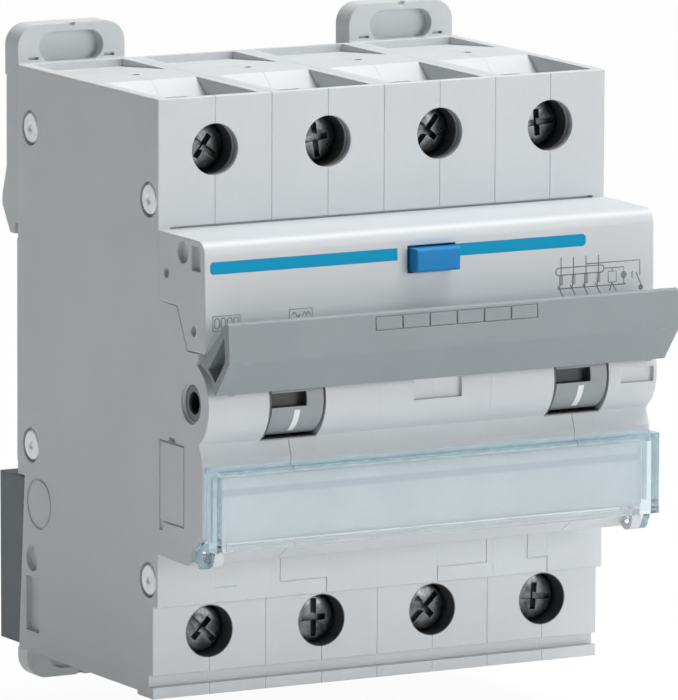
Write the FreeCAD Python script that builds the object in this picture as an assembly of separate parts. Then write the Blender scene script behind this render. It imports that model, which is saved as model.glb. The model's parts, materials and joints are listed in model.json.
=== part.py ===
import FreeCAD, Part
import math
import os

# Four-pole residual current device for a 35 mm rail, in millimetres.
# X runs across the poles, the front faces -Y, Z is up. The origin is the centre of
# the rail seat: Y = 0 is the seat plane and Z = 0 the middle of the rail.

# Driving dimensions
POLES = 4
PITCH = 17.7             # width of one pole
WALL = 1.2               # shell wall
BACK_TO_SHOULDER = 42.4  # seat plane to the front of the terminal blocks
TOP_Z = 40.5
BOTTOM_Z = -42.6
WINDOW_TOP = 22.5        # the raised section stands in a 45 mm panel window
WINDOW_BOTTOM = -22.6
RAISED = 13.5            # how far the label face stands before the shoulder
RAIL_HALF = 17.5         # half of a 35 mm rail
RAIL_THICK = 1.0
NOSE_R = 6.35            # bulge of the housing round the toggle drums
DRUM_R = 5.2
DRUM_WIDTH = 8.0
SHAFT_R = 2.5            # handle shaft
SCREW_HOLE_R = 3.6
SCREW_HEAD_R = 3.3
SCREW_R = 2.5            # M5 terminal screw
CLAMP_OPENING = 6.0      # largest conductor gap in a terminal clamp
CLAMP_TRAVEL = 3.0
CLIP_WIDTH = 16.9
CLIP_TRAVEL = 4.0
BUTTON_TRAVEL = 1.6
RIVET_R = 1.5
RIVET_WALL = 1.5         # boss wall round a rivet
CARRIER_R = 2.0          # contact carrier
COVER_HALF = 35.0        # half width of the label cover
HINGE_R = 0.8            # pins of the label cover

# Clearances
RUN = 0.05               # running fit of shafts and pins, on the radius
SLIDE = 0.1              # sliding gap
GAP = 0.3                # free gap between separate moving pieces

# Places worked out from the driving dimensions
HALF = PITCH / 2
WIDTH = POLES * PITCH
SHOULDER = -BACK_TO_SHOULDER
FACE_Y = SHOULDER - RAISED
RELIEF = 0.3             # the back outside the rail seat stands this far forward
SEAT_HALF = RAIL_HALF - 1.7
BLOCK_LOW_Y = SHOULDER + 1.4   # lower part of the bottom terminal block
POCKET_Y = (-14.5, -1.3)       # rear pockets of the top, front and back
POCKET_DEEP = 1.1
LIP = 4.5                      # depth of the lip under the bottom terminal block
LIP_TALL = 0.6
STEP_Z = WINDOW_BOTTOM - 7.6
SHAFT_Y = SHOULDER - 9.7
SHAFT_Z = -0.1
NOSE_Y = SHOULDER - 8.5
NOSE_Z = -0.3
CREASE = (SHOULDER - 12.0, -5.6)
ZONE_Y = SHOULDER - 12.9       # face under the label card
ZONE_TOP = -7.9
ZONE_LOW = -20.3
HINGE_Y = SHOULDER - 11.9
HINGE_Z = -21.1
SCREW_Z = {"line": TOP_Z - 7.4, "load": BOTTOM_Z + 8.3}
SIDE = {"line": 1, "load": -1}
BLOCK_END = {"line": TOP_Z, "load": BOTTOM_Z}
HEAD_Y = SHOULDER + 3.8
HEAD_THICK = 1.8
PLATE = 1.6                    # walls of a terminal clamp
TANG_THICK = 1.1
TANG_Y = HEAD_Y + HEAD_THICK + SLIDE + PLATE + CLAMP_TRAVEL + SLIDE
GAP_Y = TANG_Y + TANG_THICK    # front of the conductor gap
CLAMP_HALF = 5.8
CLAMP_TALL = 7.0
FUNNEL_DEPTH = 2.2
THROAT = (TANG_Y, GAP_Y + 4.6)
RIVETS = ((-4.1, TOP_Z - 8.5), (SHOULDER + 2.8, WINDOW_TOP + 3.9),
          (-4.3, -13.0), (SHOULDER + 2.8, WINDOW_BOTTOM - 4.0))
CARRIER_Y = SHOULDER + 14.9
CARRIER_Z = 2.0
CONTACT_Y = CARRIER_Y + 6.5    # plane where the contacts meet
CONTACT_Z = CARRIER_Z + 13.5
PAD_R = 1.8
PAD_THICK = 0.8
STRIP = 1.1                    # copper strip of the fixed contacts
CORE_Y = SHOULDER + 20.4
CORE_Z = -14.0
CORE_R = (6.2, 9.2)
CORE_HALF = 4.0
WINDING = 0.6
WINDOW = (CORE_Y - CORE_R[1] - 2.8, CORE_Y + CORE_R[1] + 2.8, CORE_Z - 12.0, CORE_Z + 13.0)
DRUM_X = {"left": -25.6 / 17.7 * PITCH, "right": 19.3 / 17.7 * PITCH}
SLOT_GAP = 0.4
COVER_Y = SHOULDER - 16.9      # front of the label cover
COVER_TOP = -8.6
COVER_LOW = -20.0
COVER_WALL = 1.1
CLIP_X = {"left": -1.5 * PITCH, "right": 1.5 * PITCH}
CLIP_TOP = TOP_Z + 5.3
HOOK_Z = RAIL_HALF - 1.2
FOOT_Z = (BOTTOM_Z + 0.7, -RAIL_HALF - 0.5)
FOOT_BACK = 5.0
FOOT_SLOPE = ((-2.4, -RAIL_HALF - 0.1), (-0.6, BOTTOM_Z))
BUTTON_X = -0.05
BUTTON = (7.0, 3.2)
BUTTON_Z = 18.05
BUTTON_Y = FACE_Y - 2.2
COVER_SKIN = 1.3               # wall of the front cover
COVER_ROUND = 1.9              # rounding of its top front edge
COVER_LIFT = 0.15              # gap between its cheeks and the shells
FACE_TILT = 0.3                # the label face leans this far forward at its lower end
FACE_LOW = 7.6
FLANGE_Y = (FACE_Y + COVER_SKIN + SLIDE, FACE_Y + 2.2)
GUIDE_Y = (FACE_Y + 6.4, FACE_Y + 7.4)
STEM_R = 1.2
SPRING_TURNS = 3.5
STEM_END = GUIDE_Y[1] + GAP
LEAF_Y = STEM_END + BUTTON_TRAVEL
LEVER_ANGLE = 36.0             # levers in the ON position, above the horizontal
LEVER_END = 11.0
LEVER_INSET = 1.2
SOCKET_R = 1.6                 # coupling sockets in the shaft's ends
SOCKET_DEEP = 4.0
CLIP_NECK = 2.5                # keys that hold the top clips in the back wall
KEY_Z = (RAIL_HALF + 2.0, RAIL_HALF + 7.0)
CHANNEL_HALF = 6.6             # channels of the bottom clips in the foot
CHANNEL_BACK = 3.7
STOP_Z = (-RAIL_HALF - 11.0, -RAIL_HALF - 8.0)
HANDLE_ROUND = 0.25            # rounding of the handle bar's long edges
SEAM = 0.1                     # depth of the fine grooves where shells meet
JOG_Z = STEP_Z + 2.2           # level of the stepped grooves above the bottom terminals
JOGS = (((-16.2, WINDOW_BOTTOM), (-16.2, JOG_Z), (-HALF, JOG_Z), (-HALF, STEP_Z)),
        ((16.7, WINDOW_BOTTOM), (16.7, JOG_Z), (HALF, JOG_Z), (HALF, STEP_Z)),
        ((23.3, WINDOW_BOTTOM), (23.3, JOG_Z), (1.5 * PITCH, JOG_Z), (1.5 * PITCH, STEP_Z)),
        ((-26.3, JOG_Z), (-23.2, JOG_Z)))
BIG = 200.0


def box(x, y, z):
    """Box between the two values of each pair."""
    low = [min(pair) for pair in (x, y, z)]
    size = [abs(pair[1] - pair[0]) for pair in (x, y, z)]
    return Part.makeBox(*size, FreeCAD.Vector(*low))


def rod_x(r, x, y, z):
    return Part.makeCylinder(r, x[1] - x[0], FreeCAD.Vector(x[0], y, z), FreeCAD.Vector(1, 0, 0))


def rod_y(r, x, y, z):
    return Part.makeCylinder(r, y[1] - y[0], FreeCAD.Vector(x, y[0], z), FreeCAD.Vector(0, 1, 0))


def rod_z(r, x, y, z):
    return Part.makeCylinder(r, z[1] - z[0], FreeCAD.Vector(x, y, z[0]), FreeCAD.Vector(0, 0, 1))


def loft_wire(corners, arc_at=None, arc_mid=None):
    """Closed outline in the YZ plane; the side after corner arc_at is an arc through arc_mid."""
    points = [FreeCAD.Vector(0, y, z) for y, z in corners]
    edges = []
    for i, start in enumerate(points):
        end = points[(i + 1) % len(points)]
        if i == arc_at:
            edges.append(Part.Arc(start, FreeCAD.Vector(0, *arc_mid), end).toShape())
        else:
            edges.append(Part.LineSegment(start, end).toShape())
    return Part.Wire(edges)


def prism(corners, x):
    """Outline of (Y, Z) corners drawn out between the two values of x."""
    face = Part.Face(loft_wire(corners))
    face.translate(FreeCAD.Vector(min(x), 0, 0))
    return face.extrude(FreeCAD.Vector(abs(x[1] - x[0]), 0, 0))


def fuse(shapes):
    return shapes[0].multiFuse(shapes[1:]).removeSplitter() if len(shapes) > 1 else shapes[0]


def save(name, shapes):
    """Write one node: a solid or a group of separate solids."""
    solids = [solid for shape in shapes for solid in shape.Solids]
    Part.makeCompound(solids).exportStep(f"parts/{name}.step")


def pole_x(pole):
    return (pole - (POLES - 1) / 2) * PITCH


def seam_bar(x, y, z, run):
    """Bar of diamond section along run; cut along an edge it leaves a fine chamfer."""
    start = FreeCAD.Vector(x, y, z)
    run = FreeCAD.Vector(*run)
    axes = (FreeCAD.Vector(1, 0, 0), FreeCAD.Vector(0, 1, 0), FreeCAD.Vector(0, 0, 1))
    across = [axis * SEAM for axis in axes if abs(axis.dot(run)) < 1e-9]
    corners = [start + across[0], start + across[1], start - across[0], start - across[1]]
    return Part.Face(Part.makePolygon(corners + corners[:1])).extrude(run)


def seam_grooves(span):
    """Fine grooves along the outer edges of a shell, where it meets its neighbours."""
    lip_z = BOTTOM_Z - LIP_TALL
    bars = []
    for x in span:
        bars.append(seam_bar(x, SHOULDER, WINDOW_TOP - 1, (0, 0, TOP_Z - WINDOW_TOP + 2)))
        bars.append(seam_bar(x, SHOULDER - 1, TOP_Z, (0, BACK_TO_SHOULDER + 2, 0)))
        bars.append(seam_bar(x, -RELIEF, SEAT_HALF, (0, 0, TOP_Z - SEAT_HALF + 1)))
        bars.append(seam_bar(x, 0, -SEAT_HALF - 1, (0, 0, 2 * SEAT_HALF + 2)))
        bars.append(seam_bar(x, BLOCK_LOW_Y, lip_z - 1, (0, 0, STEP_Z - lip_z + 1)))
        bars.append(seam_bar(x, BLOCK_LOW_Y - 1, lip_z, (0, LIP + 2, 0)))
        bars.append(seam_bar(x, BLOCK_LOW_Y + LIP, BOTTOM_Z, (0, -BLOCK_LOW_Y - LIP, 0)))
    for y, z in ((SHOULDER, TOP_Z), (SHOULDER, STEP_Z), (BLOCK_LOW_Y, lip_z)):
        bars.append(seam_bar(span[0] - 1, y, z, (HALF + 2, 0, 0)))
    return bars


def stepped_seams():
    """Fine stepped grooves in the strip between the label zone and the bottom terminals."""
    half = 0.8 * SEAM
    boxes = []
    for line in JOGS:
        for (x0, z0), (x1, z1) in zip(line, line[1:]):
            boxes.append(box((min(x0, x1) - half, max(x0, x1) + half), (SHOULDER - 1, SHOULDER + SEAM),
                             (min(z0, z1) - half, max(z0, z1) + half)))
    return boxes


def drum_seam(x):
    """Fine groove below a toggle drum, down the label zone."""
    skin = []
    for offset in (0, SEAM):
        face = case_face(offset)
        face.translate(FreeCAD.Vector(x - 0.6 * SEAM, 0, 0))
        skin.append(face.extrude(FreeCAD.Vector(1.2 * SEAM, 0, 0)))
    zone = box((x - 1, x + 1), (FACE_Y - 2, SHOULDER - 1), (WINDOW_BOTTOM, CREASE[1] - 0.3))
    return skin[0].cut(skin[1]).common(zone)


def cover_seam():
    """Line on which the front cover's cheeks stand on the shells, from the shoulder forwards."""
    return [(SHOULDER - 0.5, 12.9), (SHOULDER - 5.5, 12.7), (SHOULDER - 8.55, 6.9), (SHOULDER - 11.9, 7.0)]


def case_face(offset):
    """Side outline of a shell, moved inwards by offset."""
    corners = [(-RELIEF, TOP_Z), (SHOULDER, TOP_Z), (SHOULDER, WINDOW_TOP)] + cover_seam()
    corners += [(SHOULDER - 11.4, 5.4), CREASE, (ZONE_Y, ZONE_TOP), (ZONE_Y, ZONE_LOW),
                (SHOULDER - 9.0, WINDOW_BOTTOM - 0.2), (SHOULDER, WINDOW_BOTTOM)]
    corners += [(SHOULDER, STEP_Z), (BLOCK_LOW_Y, STEP_Z), (BLOCK_LOW_Y, BOTTOM_Z)]
    corners += [FOOT_SLOPE[1], FOOT_SLOPE[0], (-RELIEF, FOOT_SLOPE[0][1])]
    wire = loft_wire(corners, 7, (NOSE_Y - NOSE_R, NOSE_Z))
    face = Part.Face(wire)
    return face.makeOffset2D(-offset) if offset else face


def shell_funnel(end, mid, wall_x):
    """Block under the conductor funnel of a terminal, and the funnel to cut from it."""
    sign = SIDE[end]
    edge = BLOCK_END[end]
    floor = edge - sign * FUNNEL_DEPTH
    under = floor - sign * WALL
    block = box((mid, wall_x), (SHOULDER + 1.5 * WALL, THROAT[1] + 4), (under, edge - sign * 0.2))
    reach = PITCH / 2 - 1.65
    front = SHOULDER + 1.0 if end == "line" else BLOCK_LOW_Y + LIP
    corners = [(THROAT[1] + 2.8, edge + sign), (THROAT[1] + 2.8, edge), (THROAT[1], floor),
               (front, floor), (front, edge + sign)]
    funnel = prism(corners, (mid - reach, mid + reach))
    throat = box((mid - 4.2, mid + 4.2), THROAT, (under - sign, edge))
    return block, funnel.fuse(throat)


def side_marks(outer, inwards):
    """Shallow moulded marks on the outer face of an end shell."""
    def sunk(depth):
        return (outer, outer + inwards * depth)
    low = FOOT_SLOPE[0][1]
    marks = [rod_x(1.9, tuple(sorted(sunk(0.8))), -4.7, low - 11.5),
             box(sunk(0.8), (-6.8, -2.8), (low - 22.0, low - 14.2))]
    ring = rod_x(3.7, tuple(sorted(sunk(0.25))), -6.8, low - 3.4)
    marks.append(ring.cut(rod_x(3.3, tuple(sorted(sunk(0.3))), -6.8, low - 3.4)))
    back, front = SHOULDER - 0.5, SHOULDER - 7.8
    frame = box(sunk(0.3), (front, back), (-17.8, -6.3))
    panel = box(sunk(0.35), (front + 0.3, back - 0.3), (-17.5, -6.6))
    marks.append(frame.cut(panel))
    marks.append(box(sunk(0.8), (SHOULDER - 5.2, SHOULDER - 3.2), (-6.4, -5.7)))
    marks.append(box(sunk(0.3), (SHOULDER - 1.5, SHOULDER - 0.5), (-19.0, -17.6)))
    return marks


def half_shell(pole, side):
    """One moulded half of a pole: a side wall with a rim that ends on the pole's centre plane."""
    mid = pole_x(pole)
    outer = mid + side * HALF
    inner = outer - side * WALL
    span = (min(mid, outer), max(mid, outer))
    end_shell = abs(outer) > WIDTH / 2 - 0.01
    body = case_face(0)
    body.translate(FreeCAD.Vector(span[0], 0, 0))
    body = body.extrude(FreeCAD.Vector(HALF, 0, 0))
    hollow = case_face(WALL)
    hollow.translate(FreeCAD.Vector(min(mid, inner), 0, 0))
    body = body.cut(hollow.extrude(FreeCAD.Vector(HALF - WALL, 0, 0)))

    # Rail seat pad, bottom lip, thick wall behind the marking groove
    add = [box(span, (-RELIEF - WALL / 2, 0), (-SEAT_HALF, SEAT_HALF)),
           box(span, (BLOCK_LOW_Y, BLOCK_LOW_Y + LIP), (BOTTOM_Z - LIP_TALL, BOTTOM_Z + WALL / 2)),
           box(span, (BLOCK_LOW_Y, BLOCK_LOW_Y + 2 * WALL), (BOTTOM_Z, BOTTOM_Z + 4.2))]
    cut = [box(span, (BLOCK_LOW_Y - 1, BLOCK_LOW_Y + WALL), (BOTTOM_Z + 1.0, BOTTOM_Z + 2.7))]
    for end in ("line", "load"):
        block, funnel = shell_funnel(end, mid, inner)
        z = SCREW_Z[end]
        tube = rod_y(SCREW_HOLE_R + 1, mid, (SHOULDER + 2.0, HEAD_Y + HEAD_THICK), z)
        add += [block, tube.common(box(span, (-BIG, BIG), (-BIG, BIG)))]
        cut += [funnel, rod_y(SCREW_HOLE_R, mid, (SHOULDER - 1, HEAD_Y + HEAD_THICK + SLIDE), z)]
        room = (z - CLAMP_TALL / 2 - SLIDE, z + CLAMP_TALL / 2 + SLIDE)
        cut.append(box((mid - CLAMP_HALF - GAP, mid + CLAMP_HALF + GAP),
                       (HEAD_Y + HEAD_THICK, GAP_Y + CLAMP_OPENING + PLATE + SLIDE), room))

    # Shallow rear pocket in the top, and a small blind hole before it
    add.append(box(span, (POCKET_Y[0], -RELIEF - WALL / 2), (TOP_Z - WALL - POCKET_DEEP, TOP_Z - WALL / 2)))
    pocket = [(POCKET_Y[1], TOP_Z + 1), (POCKET_Y[1], TOP_Z - POCKET_DEEP), (POCKET_Y[0], TOP_Z),
              (POCKET_Y[0], TOP_Z + 1)]
    cut.append(prism(pocket, (mid - PITCH / 2 + 1.65, mid + PITCH / 2 - 1.65)))
    cut.append(rod_z(0.6, mid + 0.8, POCKET_Y[0] - 3.0, (TOP_Z - 0.9, TOP_Z + 1)))

    # Rivet bosses through every shell
    for y, z in RIVETS:
        add.append(rod_x(RIVET_R + RIVET_WALL, span, y, z).common(case_slab(span)))
        cut.append(rod_x(RIVET_R + RUN, (-BIG, BIG), y, z))

    # Ribs: shelf of the fixed contact, shelf of the bimetal
    shelf_z = WINDOW_TOP + 3.5
    rib = tuple(sorted((mid + side * 3.0, inner)))
    add.append(box(rib, (CONTACT_Y + PAD_THICK - SLIDE, CONTACT_Y - 3.0), (shelf_z - 1.0, shelf_z)))
    add.append(box(tuple(sorted((mid + side * 1.0, inner))), (SHOULDER + 4.4, SHOULDER + 7.9),
                   (WINDOW_BOTTOM - 1.8, WINDOW_BOTTOM - 0.6)))

    # Shafts of the handle and of the contact carrier
    cut.append(rod_x(SHAFT_R + RUN, (-BIG, BIG), SHAFT_Y, SHAFT_Z))
    over_cover = WIDTH / 2 - 1.9
    cut.append(box((-over_cover, over_cover), (SHOULDER - 1, SHOULDER + 0.8), (WINDOW_TOP, WINDOW_TOP + GAP)))
    if end_shell:
        ring = tuple(sorted((outer, outer - side * 0.4)))
        cut.append(rod_x(SHAFT_R + 0.4, ring, SHAFT_Y, SHAFT_Z))
        blind = tuple(sorted((inner - side * 1, outer - side * 0.45)))
        cut.append(rod_x(CARRIER_R + RUN, blind, CARRIER_Y, CARRIER_Z))
        for y, z in RIVETS:
            cut.append(rod_x(RIVET_R + 1.0, tuple(sorted((outer, outer - side * 0.8))), y, z))
        cut += side_marks(outer, -side)
        cut += cover_corner(side)
        add_late = [hinge_lug(side)]
    else:
        cut.append(rod_x(CARRIER_R + RUN, (-BIG, BIG), CARRIER_Y, CARRIER_Z))
        cut.append(box(tuple(sorted((outer + side, inner - side * 0.01))), WINDOW[:2], WINDOW[2:]))
        add_late = []
    if abs(outer) < 0.01:
        add_late += core_ledges(side)

    # Openings in the nose for the toggle drums, and its shallow windows
    for x0 in DRUM_X.values():
        slot = (x0 - SLIDE, x0 + DRUM_WIDTH + SLOT_GAP)
        cut.append(rod_x(DRUM_R + GAP, slot, SHAFT_Y, SHAFT_Z))
        cut.append(box(slot, (SHAFT_Y, SHAFT_Y - 9), (-5.5, 5.2)))
    window_y = (NOSE_Y - NOSE_R - 1, NOSE_Y - NOSE_R + 0.6)
    cut.append(box((-3.4, 4.2), window_y, (-1.35, 1.4)))
    cut.append(box((WIDTH / 2 - 5.8, WIDTH / 2 - 0.5), window_y, (-1.5, 0.6)))

    # Clip slots in the back wall
    for x in CLIP_X.values():
        cut.append(box((x - CLIP_NECK - SLIDE, x + CLIP_NECK + SLIDE), (-WALL - RELIEF - 1, 1),
                       (KEY_Z[0] - SLIDE, KEY_Z[1] + CLIP_TRAVEL + SLIDE)))
    cut += seam_grooves(span) + stepped_seams()
    cut += [drum_seam(x0 + DRUM_WIDTH / 2) for x0 in DRUM_X.values()]
    body = fuse([body] + add).cut(cut)
    if add_late:
        body = fuse([body] + add_late)
    return body.cut(rod_x(HINGE_R + RUN, pin_bore(side), HINGE_Y, HINGE_Z))


def case_slab(span):
    """The filled shell outline between two X values."""
    face = case_face(0)
    face.translate(FreeCAD.Vector(span[0], 0, 0))
    return face.extrude(FreeCAD.Vector(span[1] - span[0], 0, 0))


def core_ledges(side):
    """Two ledges beside the middle plane that carry the sensing core."""
    x = tuple(sorted((0, -side * 5.0)))
    low = CORE_Z - CORE_HALF - WINDING - SLIDE
    front = box(x, (WINDOW[0] - 1.0, CORE_Y - CORE_R[0] - 1.0), (low - 1.2, low))
    back = box(x, (CORE_Y + CORE_R[0] + 1.0, WINDOW[1] + 1.0), (low - 1.2, low))
    return [front, back]


def cover_corner(side):
    """Room at the lower corner of the label zone for the label cover's ear."""
    x = tuple(sorted((side * (COVER_HALF - COVER_WALL - SLIDE), side * (WIDTH / 2 + 1))))
    return [rod_x(2.0, x, HINGE_Y, HINGE_Z),
            box(x, (HINGE_Y - 3, HINGE_Y), (HINGE_Z, HINGE_Z + 2.6))]


def pin_bore(side):
    """X range of the bore for the label cover's pin."""
    deep = side * (COVER_HALF - COVER_WALL - 1.5 - SLIDE)
    return tuple(sorted((deep, side * (WIDTH / 2 + 1))))


def hinge_lug(side):
    """Round lug with the bore for the label cover's pin."""
    x = tuple(sorted((side * (COVER_HALF - COVER_WALL - SLIDE), side * (COVER_HALF - COVER_WALL - 1.6))))
    lug = rod_x(1.7, x, HINGE_Y, HINGE_Z)
    return fuse([lug, box(x, (HINGE_Y, HINGE_Y + 1.6), (HINGE_Z - 0.9, HINGE_Z + 1.7))])


def front_cover():
    """Upper half of the raised front: label face, top and two cheeks, open to the back."""
    seam = cover_seam()
    top = WINDOW_TOP
    lifted = [(y - COVER_LIFT, z + COVER_LIFT) for y, z in seam[1:]]
    corners = [(SHOULDER, top), (FACE_Y, top), (FACE_Y - FACE_TILT, FACE_LOW), (FACE_Y, FACE_LOW - 0.45)]
    corners += lifted[::-1] + seam[:1]
    shell = prism(corners, (-WIDTH / 2, WIDTH / 2))

    def at_top_front(edge):
        bounds = edge.BoundBox
        return abs(bounds.ZMin - top) < 0.01 and abs(bounds.YMax - FACE_Y) < 0.01

    shell = shell.makeFillet(COVER_ROUND, [edge for edge in shell.Edges if at_top_front(edge)])
    skin = COVER_SKIN
    inner = [(SHOULDER + 1, top - skin), (FACE_Y + 2.1, top - skin), (FACE_Y + skin, top - 2.1),
             (FACE_Y + skin - 0.3, 8.3), (FACE_Y + skin + 0.9, 6.0), (SHOULDER - 8.0, 6.0),
             (SHOULDER - 5.0, 12.0), (SHOULDER + 1, 12.0)]
    shell = shell.cut(prism(inner, (-WIDTH / 2 + skin, WIDTH / 2 - skin)))

    # Guide for the button's stem, hanging from the top wall
    guide = box((BUTTON_X - 5, BUTTON_X + 5), GUIDE_Y, (13.3, top - skin / 2))
    shell = fuse([shell, guide])
    wide = BUTTON[0] / 2 + GAP
    tall = BUTTON[1] / 2 + GAP
    through = (FACE_Y - 2, FACE_Y + 2)
    opening = box((BUTTON_X - wide, BUTTON_X + wide), through, (BUTTON_Z - tall, BUTTON_Z + tall))
    holes = [opening, rod_y(STEM_R + SLIDE, BUTTON_X, (FACE_Y + 6, FACE_Y + 8), BUTTON_Z)]
    for side in (-1, 1):
        face = tuple(sorted((side * WIDTH / 2, side * (WIDTH / 2 - 0.8))))
        holes.append(rod_x(1.6, face, SHOULDER - 7.3, top - 2.0))
        holes.append(box(face, (FACE_Y + 1.1, FACE_Y + 3.7), (top - 4.2, top - 0.8)))
        holes.append(rod_x(0.75, face, SHOULDER - 2.5, top - 5.5))
        holes.append(rod_x(0.75, face, SHOULDER - 10.4, 9.95))
    return shell.cut(holes)


def test_button():
    """Push button with a flange behind the cover and a stem to the test contact."""
    head = box((BUTTON_X - BUTTON[0] / 2, BUTTON_X + BUTTON[0] / 2), (BUTTON_Y, FLANGE_Y[1]),
               (BUTTON_Z - BUTTON[1] / 2, BUTTON_Z + BUTTON[1] / 2))
    edges = [e for e in head.Edges if abs(e.BoundBox.YMax - BUTTON_Y) < 0.01]
    head = head.makeFillet(0.35, edges)
    flange = box((BUTTON_X - BUTTON[0] / 2 - 0.8, BUTTON_X + BUTTON[0] / 2 + 0.8), FLANGE_Y,
                 (BUTTON_Z - BUTTON[1] / 2 - 0.8, BUTTON_Z + BUTTON[1] / 2 + 0.8))
    stem = rod_y(STEM_R, BUTTON_X, (FLANGE_Y[1] - 0.2, STEM_END), BUTTON_Z)
    return fuse([head, flange, stem])


def coil_spring(r, wire, y, x, z, turns):
    """Helical compression spring along Y."""
    pitch = (y[1] - y[0] - wire) / turns
    helix = Part.makeLongHelix(pitch, pitch * turns, r)
    profile = Part.Wire(Part.makeCircle(wire / 2, FreeCAD.Vector(r, 0, 0), FreeCAD.Vector(0, 1, 0)))
    coil = Part.Wire(helix.Edges).makePipeShell([profile], True, True)
    coil.rotate(FreeCAD.Vector(0, 0, 0), FreeCAD.Vector(1, 0, 0), -90)
    coil.translate(FreeCAD.Vector(x, y[0] + wire / 2, z))
    return coil


def test_spring():
    return coil_spring(1.8, 0.36, (FLANGE_Y[1], GUIDE_Y[0]), BUTTON_X, BUTTON_Z, SPRING_TURNS)


def test_contact():
    """Springy bronze leaf on the shells' ledge, behind the button's stem."""
    ledge = cover_seam()[0][1]
    base = box((BUTTON_X - 2, BUTTON_X + 2), (LEAF_Y, LEAF_Y + 3.0), (ledge, ledge + 0.4))
    leaf = box((BUTTON_X - 2, BUTTON_X + 2), (LEAF_Y, LEAF_Y + 0.4), (ledge, BUTTON_Z + 2))
    return fuse([base, leaf])


def handle_profile():
    """Side outline of the handle bar in its ON position."""
    y = SHAFT_Y
    return [(y - 9.95, 12.3), (y - 10.8, 12.15), (y - 11.05, 6.75), (y - 7.0, 1.7),
            (y - 5.6, 4.4), (y - 2.7, 5.6), (y - 3.5, 6.2), (y - 5.6, 8.1)]


def lever_box(x, grow):
    """Lever of a toggle: a flat tongue that leaves the drum at the ON angle."""
    tongue = box((x[0] - grow, x[1] + grow), (-LEVER_END, -DRUM_R + 1.5), (-1.3 - grow, 1.3 + grow))
    tongue.rotate(FreeCAD.Vector(0, 0, 0), FreeCAD.Vector(1, 0, 0), -LEVER_ANGLE)
    tongue.translate(FreeCAD.Vector(0, SHAFT_Y, SHAFT_Z))
    return tongue


def lever_span(x0):
    return (x0 + LEVER_INSET, x0 + DRUM_WIDTH - LEVER_INSET)


def handle_bar():
    """Hollow bar over all poles, open at its ends, with a web near each end."""
    outer = handle_profile()
    bar = prism(outer, (-WIDTH / 2, WIDTH / 2))
    bar = bar.makeFillet(HANDLE_ROUND, [e for e in bar.Edges if e.BoundBox.XLength > 1])
    y = SHAFT_Y
    core = [(y - 9.55, 10.4), (y - 9.85, 6.9), (y - 7.0, 3.7), (y - 5.0, 5.35)]
    bar = bar.cut(prism(core, (-BIG, BIG)))
    webs = []
    for side in (-1, 1):
        x = tuple(sorted((side * (WIDTH / 2 - 2.0), side * (WIDTH / 2 - 3.0))))
        webs.append(prism(outer, x))
    bar = fuse([bar] + webs)
    pockets = [lever_box(lever_span(x0), 0.0) for x0 in DRUM_X.values()]
    marks = []
    cell = (4.27, 2.0)
    top = 11.75
    line = 0.15
    for i in range(6):
        x = -12.7 + i * cell[0]
        frame = box((x, x + cell[0]), (y - 11.3, y - 10.65), (top - cell[1], top))
        panel = box((x + line, x + cell[0] - line), (y - 11.4, y - 10.5), (top - cell[1] + line, top - line))
        marks.append(frame.cut(panel))
    return bar.cut(pockets).cut(marks)


def toggle(x0):
    """Toggle drum with its lever, keyed to the handle shaft."""
    drum = rod_x(DRUM_R, (x0, x0 + DRUM_WIDTH), SHAFT_Y, SHAFT_Z)
    body = fuse([drum, lever_box(lever_span(x0), 0.0)])
    window = box((x0 - 0.1, x0 + 5.4), (SHAFT_Y - 8, SHAFT_Y - DRUM_R + 1.6), (-0.8, 1.2))
    keep = rod_x(SHAFT_R, (-BIG, BIG), SHAFT_Y, SHAFT_Z)
    return body.cut(window).cut(keep)


def toggle_shaft():
    """Shaft through both toggles, with a blind coupling socket in each end."""
    reach = WIDTH / 2 - 0.5
    shaft = rod_x(SHAFT_R, (-reach, reach), SHAFT_Y, SHAFT_Z)
    for side in (-1, 1):
        x = tuple(sorted((side * reach, side * (reach - SOCKET_DEEP))))
        shaft = shaft.cut(rod_x(SOCKET_R, x, SHAFT_Y, SHAFT_Z))
    return shaft


def label_cover():
    """Clear tray over the label card, with an ear and a pin at each lower corner."""
    half = COVER_HALF
    back = ZONE_Y - 0.15
    tray = box((-half, half), (COVER_Y, back), (COVER_LOW, COVER_TOP))
    edges = [e for e in tray.Edges if abs(e.BoundBox.YMax - COVER_Y) < 0.01]
    tray = tray.makeFillet(0.7, edges)
    tray = tray.cut(box((-half + COVER_WALL, half - COVER_WALL), (COVER_Y + COVER_WALL, 0),
                        (COVER_LOW - 1, COVER_TOP - COVER_WALL)))
    floor = box((-half + 3.0, half - 3.0), (COVER_Y + 0.6, back - 0.3), (COVER_LOW, COVER_LOW + 0.8))
    pieces = [tray, floor]
    for side in (-1, 1):
        x = tuple(sorted((side * half, side * (half - COVER_WALL))))
        pieces.append(rod_x(1.7, x, HINGE_Y, HINGE_Z))
        pieces.append(prism([(HINGE_Y - 1.65, HINGE_Z - 0.4), (HINGE_Y - 2.6, COVER_LOW + 0.5),
                             (HINGE_Y - 1.3, COVER_LOW + 1.5), (HINGE_Y, HINGE_Z + 0.5)], x))
        pin = tuple(sorted((side * (half - COVER_WALL + 0.1), side * (half - COVER_WALL - 1.5))))
        pieces.append(rod_x(HINGE_R, pin, HINGE_Y, HINGE_Z))
    return fuse(pieces)


def label_card():
    """Printed card on the face behind the label cover."""
    half = COVER_HALF - 1.6
    return box((-half, half), (ZONE_Y - 0.3, ZONE_Y), (ZONE_LOW + 1.2, COVER_TOP - 1.6))


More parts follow.
